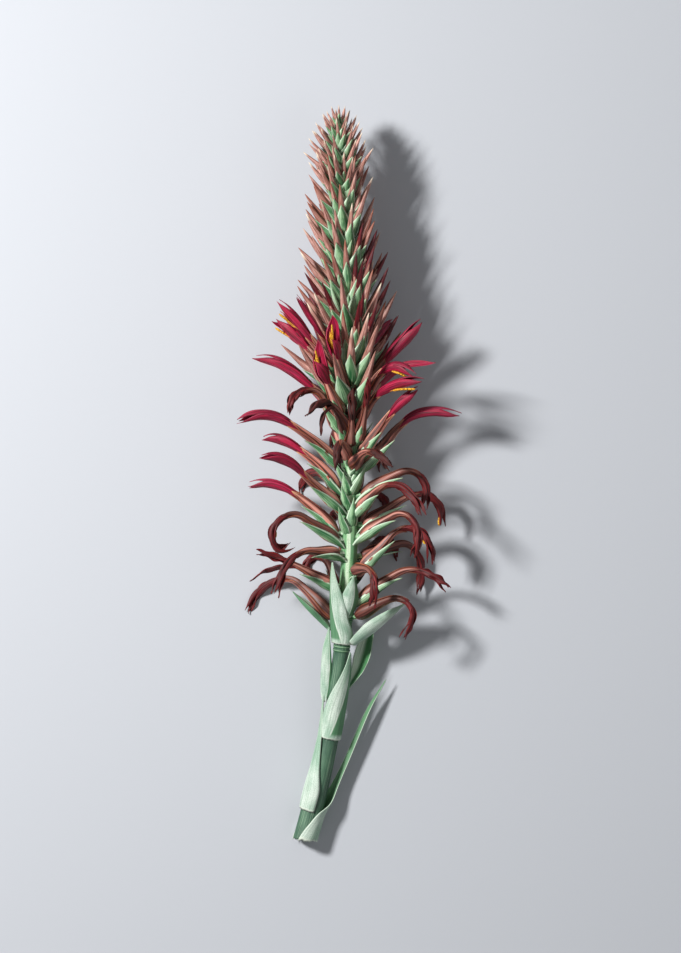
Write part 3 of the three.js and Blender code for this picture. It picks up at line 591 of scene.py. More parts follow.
def stem_radius(along):
    return read_table(STEM_COURSE, along, 3)


def core_radius(along):
    """The stem inside the spike, where its bracts and buds make it thicker."""
    return stem_radius(along) + CORE_EXTRA


def stem_frame(along, turn):
    """Directions at a place on the stem: forward, outward at a turn round it, and across."""
    forward = unit(stem_point(along + 1) - stem_point(along - 1))
    right = unit(np.array([1.0, 0, 0]) - forward * forward[0])
    up = np.cross(right, forward)
    angle = math.radians(turn)
    outward = right * math.cos(angle) + up * math.sin(angle)
    return forward, outward, np.cross(forward, outward)


# Courses: the line that an organ follows, with its directions at every station

def length_of(legs):
    """The whole length of a course."""
    return sum(length for _, length in legs)


def walk(start, axes, legs, sway, floor, step=WALK_STEP):
    """Leaves the start at the first leg's heading and bends smoothly from leg to leg."""
    forward, outward, across = axes
    lengths = np.array([length for _, length in legs], float)
    marks = np.cumsum(lengths) - lengths / 2
    total = lengths.sum()
    steps = max(FEWEST_STEPS, int(total / step + 0.5))
    s = np.linspace(0, total, steps + 1)
    half = total / steps / 2
    reading = s + half
    reading[-1] = total
    heading = np.radians(np.interp(reading, marks, [heading for heading, _ in legs]))[:, None]
    aside = np.radians(sway * s / total)[:, None]
    swayed = outward * np.cos(aside) + across * np.sin(aside)
    direction = forward * np.cos(heading) + swayed * np.sin(heading)
    side = across * np.cos(aside) - outward * np.sin(aside)
    middle = start + np.concatenate([np.zeros((1, 3)), np.cumsum(direction[:-1] * half * 2, axis=0)])
    middle[:, 2] = np.maximum(middle[:, 2], floor)
    return {"middle": middle, "direction": direction, "side": side, "inner": np.cross(direction, side)}


def stations(course, fractions):
    """The course read at fractions of its length, as middle, direction, side and inner."""
    count = len(course["middle"])
    place = np.clip(np.asarray(fractions, float), 0, 1) * (count - 1)
    i = np.minimum(place.astype(int), count - 2)
    t = (place - i)[..., None]
    keys = ("middle", "direction", "side", "inner")
    read = [course[key][i] * (1 - t) + course[key][i + 1] * t for key in keys]
    return [read[0]] + [unit(vectors) for vectors in read[1:]]


def flower_course(row, legs, step=WALK_STEP):
    """From beside the stem through the calyx to the tip of the petals."""
    axes = stem_frame(row["along"], row["turn"])
    start = stem_point(row["along"]) + axes[1] * (stem_radius(row["along"]) + CALYX_STAND_OFF)
    return walk(start, axes, [*row["calyx"], *legs], row["sway"], REST_HEIGHT, step)


def hidden_flower(k):
    """A flower on the underside, by rule."""
    along = HIDDEN_START + k * HIDDEN_STEP
    turn = HIDDEN_TURNS[k % len(HIDDEN_TURNS)] + (k % 3) * HIDDEN_TWIST
    fresh = along > FRESH_FROM
    sway = HIDDEN_SWAY if turn < STRAIGHT_DOWN else -HIDDEN_SWAY
    legs = HIDDEN_FRESH if fresh else HIDDEN_WITHERED
    return flower(along, turn, HIDDEN_CALYX, legs, fresh=fresh, sway=sway)


def kind_of(row):
    """The table of the flower's kind."""
    return FRESH if row["fresh"] else WITHERED


ALL_FLOWERS = FLOWERS + [hidden_flower(k) for k in range(HIDDEN_FLOWERS)]


# What is in place, as beads, and bending clear of it

class Beads:
    """Round beads that stand for the organs already in place."""

    def __init__(self):
        self.middles = np.zeros((0, 3))
        self.radii = np.zeros(0)

    def add(self, middles, radii):
        middles = np.reshape(middles, (-1, 3))
        self.middles = np.concatenate([self.middles, middles])
        self.radii = np.concatenate([self.radii, np.broadcast_to(radii, len(middles))])

    def room(self, points, half_depth):
        """How far the nearest bead is from what is so deep round the points."""
        apart = np.linalg.norm(points[:, None, :] - self.middles[None, :, :], axis=2)
        return (apart - self.radii).min() - half_depth


def arc_ring(centre, outward, across, radius, spread, thickness, count):
    """The points of a thin arc's inner and outer face."""
    facet = math.cos(math.radians(spread / (count - 1)))
    angles = np.radians(np.linspace(-spread, spread, count))[:, None]
    ring = (outward * np.cos(angles) + across * np.sin(angles)) / facet
    return np.concatenate([centre + ring * (radius - thickness), centre + ring * radius])


def sheath_centre(along, turn, back, radius, roll):
    """The middle of a sheathing leaf's curve at a place, and the directions of the curve."""
    outward = stem_frame(along, turn)[1]
    rolled = stem_frame(along, turn + roll)
    return stem_point(along) + outward * back - rolled[1] * radius, rolled


def boat_course(leaf, step=WALK_STEP):
    """From the stem along the keel of a boat-shaped leaf."""
    axes = stem_frame(leaf["along"], leaf["turn"])
    start = stem_point(leaf["along"]) + axes[1] * (stem_radius(leaf["along"]) + JOINT_GAP + leaf["out"])
    return walk(start, axes, leaf["legs"], 0, REST_HEIGHT, step)


def flower_beads(beads):
    """Puts beads along every flower."""
    for row in ALL_FLOWERS:
        calyx_length = length_of(row["calyx"])
        for legs in row["petals"]:
            length = calyx_length + length_of(legs)
            count = int(length / BEAD_SPACING + 0.5)
            s = np.linspace(0, length, count + 1)
            calyx = CALYX_RADIUS * (1 - CALYX_TAPER * np.abs(s / calyx_length - CALYX_BELLY))
            petal = row["girth"] * kind_of(row)["radius"]
            middles = stations(flower_course(row, legs), s / length)[0]
            beads.add(middles, np.where(s < calyx_length, calyx, petal))


def leaf_beads(beads):
    """Puts beads over every large leaf."""
    for leaf in SHEATHS:
        for along, back, radius, spread, roll in leaf["rows"][:-1]:
            centre, rolled = sheath_centre(along, leaf["turn"], back, radius, roll)
            wide = spread + JOINT_GAP * EDGE_GROWTH
            deep = SHEATH_THICKNESS + JOINT_GAP * 2
            ring = arc_ring(centre, rolled[1], rolled[2], radius + JOINT_GAP, wide, deep, SHEATH_ARC_POINTS)
            beads.add(ring, LEAF_BEAD_RADIUS)
    for leaf in BOATS:
        course = boat_course(leaf)
        for fraction, width in BOAT_SHAPE[:-1]:
            middle, _, side, inner = stations(course, fraction)
            radius = leaf["half"] * width / math.sin(math.radians(leaf["spread"])) + BOAT_THICKNESS
            wide = leaf["spread"] + JOINT_GAP * EDGE_GROWTH
            deep = BOAT_THICKNESS + JOINT_GAP * 2
            ring = arc_ring(middle + inner * radius, -inner, side, radius + JOINT_GAP, wide, deep,
                            BOAT_ARC_POINTS)
            beads.add(ring, LEAF_BEAD_RADIUS)


def bent_clear(beads, course_for, half_depth, least=LEAST_ROOM):
    """The first way to bend a course that clears what is in place, or else the clearest."""
    best, best_room = None, -math.inf
    for aside, lean in BENDS:
        course = course_for(aside, lean)
        room = beads.room(stations(course, ROOM_FRACTIONS)[0], half_depth)
        if room > best_room:
            best, best_room = (aside, lean), room
        if room > ENOUGH_ROOM:
            break
    if best_room < least:
        return None
    beads.add(stations(course_for(*best), ROOM_FRACTIONS)[0], half_depth)
    return best


def rooted_course(beads, along, turn, root, legs_for, floor, half_depth, least=LEAST_ROOM):
    """A fine course for a bract or bud that starts at a root radius from the stem's middle."""
    def course_for(aside, lean, step=WALK_STEP):
        axes = stem_frame(along, turn + aside)
        return walk(stem_point(along) + axes[1] * root, axes, legs_for(aside, lean), 0, floor, step)
    bend = bent_clear(beads, course_for, half_depth, least)
    return None if bend is None else course_for(*bend, step=FINE_STEP)


def curling(first, last, length):
    """Legs for a bract that leaves the stem at one heading and ends at another."""
    def legs_for(aside, lean):
        return [[first + lean, length], [last + lean, length]]
    return legs_for


# Shapes

class Shape:
    """Points, faces, finishes and surface marks of one piece while it is being made.

    The marks say where a point is on its own organ, and the materials read them: reach runs from
    root to tip, across from edge to edge, tone differs from organ to organ, and inside is the
    face towards the stem.
    """

    def __init__(self):
        self.points = []
        self.faces = []
        self.finishes = []
        self.marks = {name: [] for name in MARKS}
        self.count = 0

    def add(self, points, faces, finish, **marks):
        points = np.reshape(points, (-1, 3))
        self.points.append(points)
        self.faces += [tuple(int(i) + self.count for i in face) for face in faces]
        self.finishes += [finish] * len(faces)
        for name in MARKS:
            self.marks[name].append(np.broadcast_to(np.ravel(marks.get(name, 0.0)), len(points)))
        self.count += len(points)

    def piece(self, name, finishes):
        """The finished object: in metres, round the part's origin, and above the table."""
        points = np.concatenate(self.points)
        low = points[:, 2] < SOFT_FLOOR
        points[low, 2] = SOFT_FLOOR * np.exp((points[low, 2] - SOFT_FLOOR) / SOFT_FLOOR)
        points[:, 0] -= ORIGIN_SHIFT[0]
        points[:, 1] -= ORIGIN_SHIFT[1]
        mesh = bpy.data.meshes.new(name)
        mesh.from_pydata((points * MM).tolist(), [], self.faces)
        for mark, values in self.marks.items():
            layer = mesh.attributes.new(mark, "FLOAT", "POINT")
            layer.data.foreach_set("value", np.concatenate(values).astype(np.float32))
        for finish in finishes:
            mesh.materials.append(finish)
        mesh.polygons.foreach_set("material_index", self.finishes)
        mesh.polygons.foreach_set("use_smooth", [True] * len(self.faces))
        mesh.update()
        made = bpy.data.objects.new(name, mesh)
        bpy.context.scene.collection.objects.link(made)
        return made


def grid_faces(rows, columns, index):
    """Quads over a grid of point numbers."""
    return [(index[i, j], index[i, j + 1], index[i + 1, j + 1], index[i + 1, j])
            for i in range(rows - 1) for j in range(columns - 1)]


def thin_leaf(shape, surface, thickness, finish, tone):
    """A closed thin leaf round a grid of points, with fine edges."""
    rows, columns, _ = surface.shape
    along = np.gradient(surface, axis=0)
    over = np.gradient(surface, axis=1)
    normal = np.cross(over, along)
    normal /= np.maximum(np.linalg.norm(normal, axis=2, keepdims=True), SMALLEST)
    half = (np.broadcast_to(thickness, (rows, columns)) / 2)[..., None]
    front = surface + normal * half
    front[0], front[-1] = surface[0], surface[-1]
    front[:, 0], front[:, -1] = surface[:, 0], surface[:, -1]
    back = (surface - normal * half)[1:-1, 1:-1]
    front_index = np.arange(rows * columns).reshape(rows, columns)
    back_index = front_index.copy()
    behind = np.arange((rows - 2) * (columns - 2)).reshape(rows - 2, columns - 2)
    back_index[1:-1, 1:-1] = rows * columns + behind
    faces = grid_faces(rows, columns, front_index)
    faces += [face[::-1] for face in grid_faces(rows, columns, back_index)]
    reach = np.repeat(np.linspace(0, 1, rows)[:, None], columns, axis=1)
    across = np.repeat(np.linspace(-1, 1, columns)[None, :], rows, axis=0)
    inside = np.concatenate([np.zeros(rows * columns), np.ones((rows - 2) * (columns - 2))])
    shape.add(np.concatenate([front.reshape(-1, 3), back.reshape(-1, 3)]), faces, finish,
              reach=np.concatenate([reach.ravel(), reach[1:-1, 1:-1].ravel()]),
              across=np.concatenate([across.ravel(), across[1:-1, 1:-1].ravel()]),
              tone=tone, inside=inside)


def round_body(shape, middle, side, inner, radii, finish, tone):
    """A closed body round a row of middles; radii has a row for each middle, a value a side."""
    rows, sides = radii.shape
    angles = np.linspace(0, 2 * math.pi, sides, endpoint=False)[None, :, None]
    ring = side[:, None, :] * np.cos(angles) + inner[:, None, :] * np.sin(angles)
    points = middle[:, None, :] + ring * radii[..., None]
    index = np.arange(rows * sides).reshape(rows, sides)
    wrapped = np.concatenate([index, index[:, :1]], axis=1)
    faces = grid_faces(rows, sides + 1, wrapped)
    first, last = rows * sides, rows * sides + 1
    for k in range(sides):
        after = (k + 1) % sides
        faces.append((first, index[0, after], index[0, k]))
        faces.append((last, index[-1, k], index[-1, after]))
    reach = np.repeat(np.linspace(0, 1, rows)[:, None], sides, axis=1)
    turn = np.repeat(np.linspace(-1, 1, sides, endpoint=False)[None, :], rows, axis=0)
    shape.add(np.concatenate([points.reshape(-1, 3), middle[:1], middle[-1:]]), faces, finish,
              reach=np.append(reach.ravel(), [0, 1]), across=np.append(turn.ravel(), [0, 0]), tone=tone)


def edge_wave(reach, across, height, draw):
    """A slow wave along a leaf's edges, with none at its middle."""
    wave = np.sin(reach * draw.uniform(*WAVE_RUN) + draw.uniform(*WAVE_START))
    return height * wave[:, None] * across * np.abs(across)


# The organs of a flower

def points_round(course, fractions, angles, radii, offset=0.0):
    """Points round a course, for every fraction and every angle in that row."""
    middle, _, side, inner = stations(course, fractions)
    ring = side[:, None, :] * np.cos(angles)[..., None] + inner[:, None, :] * np.sin(angles)[..., None]
    return (middle + offset)[:, None, :] + ring * radii[..., None]


def sepals(shape, course, mouth, total, kind, draw):
    """Three sepals that overlap in a bulb and part at their pointed tips."""
    reach = np.linspace(0, 1, SEPAL_ROWS)
    across = np.linspace(-1, 1, SEPAL_COLUMNS)[None, :]
    end = mouth + kind["tip"] / total
    turned = draw.uniform(-SEPAL_STRAY, SEPAL_STRAY)
    profile = CALYX_RADIUS * read_table(kind["calyx"], reach)[:, None]
    spread = read_table(SEPAL_SPREAD, reach)[:, None]
    for k in range(3):
        angles = np.radians(SEPAL_TURN + 120 * k + turned + across * spread)
        radii = profile + SEPAL_OVERLAP * across * np.sin(math.pi * reach)[:, None]
        radii = radii + SEPAL_KEEL * np.maximum(0, 1 - KEEL_NARROWNESS * np.abs(across)) ** KEEL_SHARPNESS
        radii = radii - SEPAL_CREASE * np.exp(-((np.abs(across) - CREASE_PLACE) / CREASE_WIDTH) ** 2)
        flare = draw.uniform(FLARE_LEAST, 1) * kind["flare"]
        radii = radii + flare * smooth_step(reach, FLARE_FROM, JUST_PAST_TIP)[:, None]
        surface = points_round(course, reach * end, angles, radii)
        thin_leaf(shape, surface, SEPAL_THICKNESS, CALYX, draw.random())


def pedicel(shape, row, draw):
    """The short foot that joins the calyx to the stem."""
    forward, outward, across = stem_frame(row["along"], row["turn"])
    heading = math.radians(row["calyx"][0][0])
    base = stem_point(row["along"]) + outward * (stem_radius(row["along"]) - PEDICEL_DEPTH)
    top = stem_point(row["along"]) + outward * (stem_radius(row["along"]) + CALYX_STAND_OFF)
    top = top + (forward * math.cos(heading) + outward * math.sin(heading)) * PEDICEL_REACH
    t = np.linspace(0, 1, PEDICEL_ROWS)[:, None]
    middle = base * (1 - t) + top * t
    side = np.broadcast_to(across, middle.shape)
    inner = np.broadcast_to(np.cross(unit(top - base), across), middle.shape)
    radii = np.repeat(PEDICEL_RADIUS - PEDICEL_TAPER * t, PEDICEL_SIDES, axis=1)
    round_body(shape, middle, side, inner, radii, PEDICEL, draw.random())


def petal(shape, course, mouth, look, draw):
    """One petal from inside the calyx to its pointed tip."""
    reach = np.linspace(0, 1, PETAL_ROWS)
    across = np.linspace(-1, 1, PETAL_COLUMNS)[None, :]
    beyond = PETAL_ROOT + (look["end"] - PETAL_ROOT) * reach
    fractions = mouth + (1 - mouth) * beyond
    spread = read_table(PETAL_SPREAD, reach)[:, None] * look["open"]
    turn = look["turn"] + look["twist"] * reach[:, None]
    angles = np.radians(turn + across * spread)
    radii = look["radius"] * read_table(look["profile"], reach)[:, None] * np.ones_like(across)
    phase = draw.uniform(0, 2 * math.pi)
    ripple = np.sin(reach[:, None] * look["ripples"] * 2 * math.pi + phase + across * RIPPLE_SLANT)
    fold = np.sin(across * look["folds"] + phase)
    shown = smooth_step(reach, RIPPLES_FROM, RIPPLES_FULL)[:, None]
    relief = shown * look["crinkle"] * (ripple * np.abs(across) + FOLD_SHARE * fold)
    radii = radii * (1 + relief) + PETAL_LAP * across
    parting = look["parted"] * smooth_step(beyond, PARTING_FROM, JUST_PAST_TIP)[:, None]
    _, _, side, inner = stations(course, fractions)
    offset = parting * (inner * look["tip"][0] + side * look["tip"][1])
    surface = points_round(course, fractions, angles, radii, offset)
    thin_leaf(shape, surface, PETAL_THICKNESS, PETAL, look["tone"])


def petals(shape, row, course, mouth, members, draw):
    """The petals of one flower that follow the same course."""
    kind = kind_of(row)
    if row["fresh"]:
        twist = draw.uniform(-FRESH_TWIST, FRESH_TWIST)
    else:
        twist = draw.choice([-1, 1]) * draw.uniform(*WITHERED_TWIST)
    turned = draw.uniform(-PETAL_STRAY, PETAL_STRAY)
    ends = draw.sample(PETAL_ENDS, 3)
    hood = row["girth"] == HOOD_GIRTH
    for k in members:
        petal(shape, course, mouth, {
            "end": ends[k] * (HOOD_ENDS[k] if hood else 1),
            "open": HOOD_OPEN[k] if hood else 1,
            "turn": 90 + 120 * k + (0 if hood else turned),
            "twist": twist,
            "radius": row["girth"] * kind["radius"],
            "profile": kind["petals"],
            "ripples": draw.uniform(*kind["ripples"]),
            "folds": draw.uniform(*FOLDS),
            "crinkle": kind["crinkle"],
            "parted": row["parted"] or kind["parted"],
            "tip": [value * kind["spread_tips"] for value in PETAL_TIPS[k]],
            "tone": draw.random(),
        }, draw)


def anther(shape, middle, along, side, inner, length, draw):
    """One long anther with two lobes."""
    t = np.linspace(-1, 1, ANTHER_ROWS)[:, None]
    round_ends = np.sqrt(np.maximum(ANTHER_END, 1 - t ** 4))
    lobes = 1 - ANTHER_LOBES * np.cos(np.linspace(0, 4 * math.pi, ANTHER_SIDES, endpoint=False))[None, :]
    middles = middle + along * t * length / 2
    directions = [np.broadcast_to(axis, middles.shape) for axis in (side, inner)]
    round_body(shape, middles, *directions, ANTHER_RADIUS * round_ends * lobes, ANTHER, draw.random())


def stamens(shape, course, mouth, look, draw):
    """Thin filaments below the petals, each with a long anther."""
    last = STAMEN_COUNT - 1
    filament = np.full((FILAMENT_ROWS, FILAMENT_SIDES), FILAMENT_RADIUS)
    for k in range(STAMEN_COUNT):
        end = look["first"] + (look["last"] - look["first"]) * k / last
        t = np.linspace(FILAMENT_START, end, FILAMENT_ROWS)
        middle, _, side, inner = stations(course, mouth + (1 - mouth) * t)
        drop = look["drop"] * (t / look["last"]) ** STAMEN_DROOP
        stray = draw.uniform(-STAMEN_STRAY, STAMEN_STRAY)
        sideways = ((k - last / 2) * STAMEN_SPACING + stray) * t / end
        middle = middle - inner * drop[:, None] + side * sideways[:, None]
        round_body(shape, middle, side, inner, filament, FILAMENT, draw.random())
        along = unit(middle[-1] - middle[-3])
        anther(shape, middle[-1] + along * ANTHER_GAP, along, side[-1], inner[-1], look["length"], draw)


def old_pollen(shape, course, mouth, place, draw):
    """The last anthers that show in a withered flower."""
    for k, drop in enumerate(OLD_ANTHER_DROPS):
        beyond = place + OLD_ANTHER_SPACING * k
        middle, direction, side, inner = stations(course, [mouth + (1 - mouth) * beyond])
        anther(shape, middle[0] - inner[0] * drop, direction[0], side[0], inner[0], OLD_ANTHER_LENGTH, draw)


def bloom(number, row):
    """One whole flower, with its calyx, petals and stamens."""
    draw = random.Random(number)
    shape = Shape()
    calyx_length = length_of(row["calyx"])
    pedicel(shape, row, draw)
    for index, legs in enumerate(row["petals"]):
        course = flower_course(row, legs, FINE_STEP)
        total = calyx_length + length_of(legs)
        mouth = calyx_length / total
        if index == 0:
            sepals(shape, course, mouth, total, kind_of(row), draw)
        members = range(3) if len(row["petals"]) == 1 else ([0, 1], [2])[index]
        petals(shape, row, course, mouth, members, draw)
        if row["stamens"] and index == 0:
            look = HOOD_STAMENS if row["girth"] == HOOD_GIRTH else OPEN_STAMENS
            stamens(shape, course, mouth, look, draw)
        if row["pollen"] is not None:
            old_pollen(shape, course, mouth, row["pollen"], draw)
    return shape


# Bracts and buds

def bract(shape, course, size, rows, draw):
    """A lance-shaped leaf, cupped towards the stem."""
    reach = np.linspace(0, 1, BRACT_ROWS)
    across = np.linspace(-1, 1, BRACT_COLUMNS)[None, :]
    middle, _, side, inner = stations(course, reach)
    width = size["half"] * read_table(rows, reach)[:, None] * np.ones_like(across)
    cup = width * size["fold"] * np.abs(across) ** BRACT_CUP
    wave = edge_wave(reach, across, BRACT_WAVE, draw)
    surface = middle[:, None, :] + side[:, None, :] * (across * width)[..., None]
    surface = surface + inner[:, None, :] * (cup + wave)[..., None]
    thickness = BRACT_THICKNESS * (1 - BRACT_THIN_EDGE * np.abs(across)) * (1 - THIN_TIP * reach[:, None])
    thin_leaf(shape, surface, thickness, BRACT, draw.random())


def cradle(shape, course, along, turn, root, look, draw):
    """The bract that holds a flower or bud: it leaves the stem below it and lies along its back."""
    fractions = np.linspace(look["start"], look["end"], CRADLE_STATIONS)
    t = np.linspace(0, 1, CRADLE_STATIONS)[:, None]
    middle, _, side, inner = stations(course, fractions)
    roll = math.radians(look["roll"]) * abs(math.cos(math.radians(turn)))
    back = unit(side * np.where(side[:, 2:] < 0, -1, 1) * math.sin(roll) - inner * math.cos(roll))
    line = middle + back * (look["girth"] * (1 - look["taper"] * t) + look["clear"] + look["lean"] * t ** 2)
    outward = stem_frame(along - look["below"], turn)[1]
    foot = stem_point(along - look["below"]) + outward * root
    line = np.concatenate([[foot], line])
    back = np.concatenate([[outward], back])
    run = np.append(0, np.cumsum(np.linalg.norm(np.diff(line, axis=0), axis=1)))
    reach = np.linspace(0, 1, CRADLE_ROWS)
    places = reach * run[-1]
    course_rows = [np.stack([run, line[:, axis]], axis=1) for axis in range(3)]
    centre = np.stack([read_table(rows, places) for rows in course_rows], axis=1)
    back = unit(np.stack([np.interp(places, run, back[:, axis]) for axis in range(3)], axis=1))
    tangent = unit(np.gradient(centre, axis=0))
    over = unit(np.cross(tangent, back))
    across = np.linspace(-1, 1, CRADLE_COLUMNS)[None, :]
    width = look["half"] * read_table(CRADLE_SHAPE, reach)[:, None]
    cup = width * look["cup"] * np.abs(across) ** CRADLE_CUP
    wave = edge_wave(reach, across, CRADLE_WAVE, draw)
    surface = centre[:, None, :] + over[:, None, :] * (across * width)[..., None]
    surface = surface - back[:, None, :] * (cup + wave)[..., None]
    thickness = CRADLE_THICKNESS * (1 - CRADLE_THIN_EDGE * np.abs(across)) * (1 - THIN_TIP * reach[:, None])
    thin_leaf(shape, surface, thickness, BRACT, draw.random())


def keep_room_for_bract(beads, row):
    """Keeps room for the bract under a flower, more of it low on the stem."""
    low, high = KEPT_ROOM_LOW, KEPT_ROOM_HIGH
    upper = smooth_step(row["along"], low["along"], high["along"])
    length = low["length"] + (high["length"] - low["length"]) * upper
    lean = low["lean"] + (high["lean"] - low["lean"]) * upper
    first = min(row["calyx"][0][0] + lean, KEPT_ROOM["most"])
    along = row["along"] - KEPT_ROOM["below"]
    rooted_course(beads, along, row["turn"], stem_radius(along) - ROOT_DEPTH,
                  curling(first, first - KEPT_ROOM["curl"], length / 2),
                  REST_HEIGHT + BRACT_CLEARANCE, KEPT_ROOM["half"] * BRACT_BEAD_SHARE)


def front_bract_course(beads, row, half_depth=FRONT["half"] * BRACT_BEAD_SHARE, least=LEAST_ROOM):
    """The course of a bract on the front of the stem, from its row."""
    along, turn, heading, length = row
    curl = FRONT["curl"] / 2
    return rooted_course(beads, along, turn, stem_radius(along) - ROOT_DEPTH,
                         curling(heading + curl, heading - curl, length / 2),
                         REST_HEIGHT + BRACT_CLEARANCE, half_depth, least)


def column_course(beads, along, turn, heading):
    """The course of a broad bract of the column up the front."""
    length = min(COLUMN_LONGEST, read_table(BUD_TABLE, along, 1) * COLUMN_LENGTH)
    root = (stem_radius(along) if along < STALK_TOP else core_radius(along)) - ROOT_DEPTH
    return rooted_course(beads, along, turn, root,
                         curling(heading, heading - COLUMN["curl"], length / 2),
                         REST_HEIGHT + BRACT_CLEARANCE, COLUMN["half"] * COLUMN_BEAD_SHARE, COLUMN_ROOM)


def spike_heading(along, turn):
    """How far a bud or bract of the spike leans out: the spike nods a little to the right."""
    return read_table(BUD_TABLE, along, 2) - LEAN_TO_RIGHT * math.cos(math.radians(turn))


def leafy_course(beads, along, turn):
    """The course of a small bract between the buds."""
    length = read_table(BUD_TABLE, along, 1) * LEAFY["length"]
    heading = spike_heading(along, turn) + LEAFY["lean"]
    return rooted_course(beads, along, turn, core_radius(along) - ROOT_DEPTH,
                         curling(heading, heading - LEAFY["curl"], length),
                         REST_HEIGHT + BRACT_CLEARANCE, LEAFY["half"] * BRACT_BEAD_SHARE)


def bud_course(beads, along, turn, size=1.0, least=LEAST_ROOM):
    """The course of a bud, with its size as a share of the table's length."""
    length = read_table(BUD_TABLE, along, 1) * size
    radius = read_table(BUD_TABLE, along, 3)

    def legs_for(aside, lean):
        heading = spike_heading(along, turn + aside) + lean
        return [[heading + BUD_CURL, length / 2], [heading - BUD_CURL, length / 2]]
    root = core_radius(along) - ROOT_DEPTH
    return rooted_course(beads, along, turn, root, legs_for, REST_HEIGHT, radius, least)


def bud(shape, course, radius, opening, tone, draw):
    """A pointed bud with three seams. An opening one shows its petals beyond its sepals."""
    reach = np.linspace(0, 1, BUD_ROWS)
    share = OPENING_SHARE if opening else 1
    middle, _, side, inner = stations(course, reach * share)
    angles = np.linspace(0, 2 * math.pi, BUD_SIDES, endpoint=False)[None, :]
    turned = 3 * (angles + draw.uniform(0, BUD_SEAM_STRAY)) + BUD_SEAM_TWIST * reach[:, None]
    seams = 1 - BUD_SEAM * np.maximum(0, np.cos(turned)) ** 2
    profile = OPENING_PROFILE if opening else BUD_PROFILE
    radii = radius * read_table(profile, reach)[:, None] * seams
    round_body(shape, middle, side, inner, radii, BUD, tone)
    if opening:
        places = BUD_PETAL_FROM + (1 - BUD_PETAL_FROM) * reach
        middle, _, side, inner = stations(course, places)
        profile_places = BUD_PETAL_PROFILE_FROM + (1 - BUD_PETAL_PROFILE_FROM) * reach
        girth = radius * read_table(BUD_PROFILE, profile_places)[:, None] * BUD_PETAL_GIRTH
        round_body(shape, middle, side, inner, girth * seams, BUD_PETAL, draw.random())


# The stem and its large leaves

def stem(shape, start, end, spacing, radius_at, pointed):
    """The stem with shallow ridges and the rings at its joints."""
    along = np.linspace(start, end, int((end - start) / spacing))
    frames = [stem_frame(place, 0) for place in along]
    side = np.array([axes[1] for axes in frames])
    inner = np.array([axes[2] for axes in frames])
    angles = np.linspace(0, 2 * math.pi, STEM_SIDES, endpoint=False)[None, :]
    stand, ring = 0, 0
    for place, height, half in JOINT_RINGS:
        inside = np.exp(-((along - place) / half) ** RING_SQUARENESS)
        groove = np.exp(-((along - place) / (half * RING_GROOVE)) ** 2)
        stand = stand + height * (inside - RING_GROOVE_DEPTH * groove)
        ring = ring + inside * (1 - groove)
    radii = (radius_at(along) + stand)[:, None] + STEM_RIDGE * np.cos(STEM_RIDGES * angles)
    if pointed:
        radii[-1] = STEM_POINT
    ring = np.append(np.repeat(ring, STEM_SIDES), [0, 0])
    round_body(shape, stem_point(along), side, inner, radii, STEM, ring)


def sheath(leaf, number):
    """A large leaf that wraps the stem at its base and leaves it towards its tip."""
    draw = random.Random(SHEATH_SEED + number)
    shape = Shape()
    rows = leaf["rows"]
    foot = rows[0][0]
    across = np.linspace(-1, 1, SHEATH_COLUMNS)
    slow, fast = TEAR_WAVES
    tear = TEAR_DEPTH * np.sin(across * slow + number)[:, None] * np.sin(across * fast)[:, None]
    surface = []
    for place in np.linspace(foot, rows[-1][0], SHEATH_ROWS):
        back, radius, spread, roll = [read_table(rows, place, column) for column in (1, 2, 3, 4)]
        centre, rolled = sheath_centre(place, leaf["turn"], back, radius, roll)
        angles = np.radians(across * spread)[:, None]
        ring = rolled[1] * np.cos(angles) + rolled[2] * np.sin(angles)
        torn = tear * (1 - smooth_step(place, foot, foot + TEAR_REACH)) * (1 if number == 0 else SMALL_TEAR)
        surface.append(centre + ring * (radius - SHEATH_THICKNESS / 2) + rolled[0] * torn)
    thin_leaf(shape, np.array(surface), SHEATH_THICKNESS * SHEATH_SHOWN, LEAF, draw.random())
    return shape


def boat(leaf, number):
    """A boat-shaped leaf that holds a flower."""
    draw = random.Random(BOAT_SEED + number)
    shape = Shape()
    course = boat_course(leaf, FINE_STEP)
    reach = np.linspace(0, 1, BOAT_ROWS)
    middle, _, side, inner = stations(course, reach)
    spread = math.radians(leaf["spread"])
    radius = leaf["half"] * read_table(BOAT_SHAPE, reach)[:, None] / math.sin(spread)
    angles = np.linspace(-spread, spread, BOAT_COLUMNS)[None, :]
    deep = (radius * (1 - np.cos(angles)))[..., None]
    wide = (radius * np.sin(angles))[..., None]
    surface = middle[:, None, :] + side[:, None, :] * wide + inner[:, None, :] * (deep + BOAT_THICKNESS / 2)
    thin_leaf(shape, surface, BOAT_THICKNESS * BOAT_SHOWN, LEAF, draw.random())
    return shape


# The stalk and the spike, with what grows from them

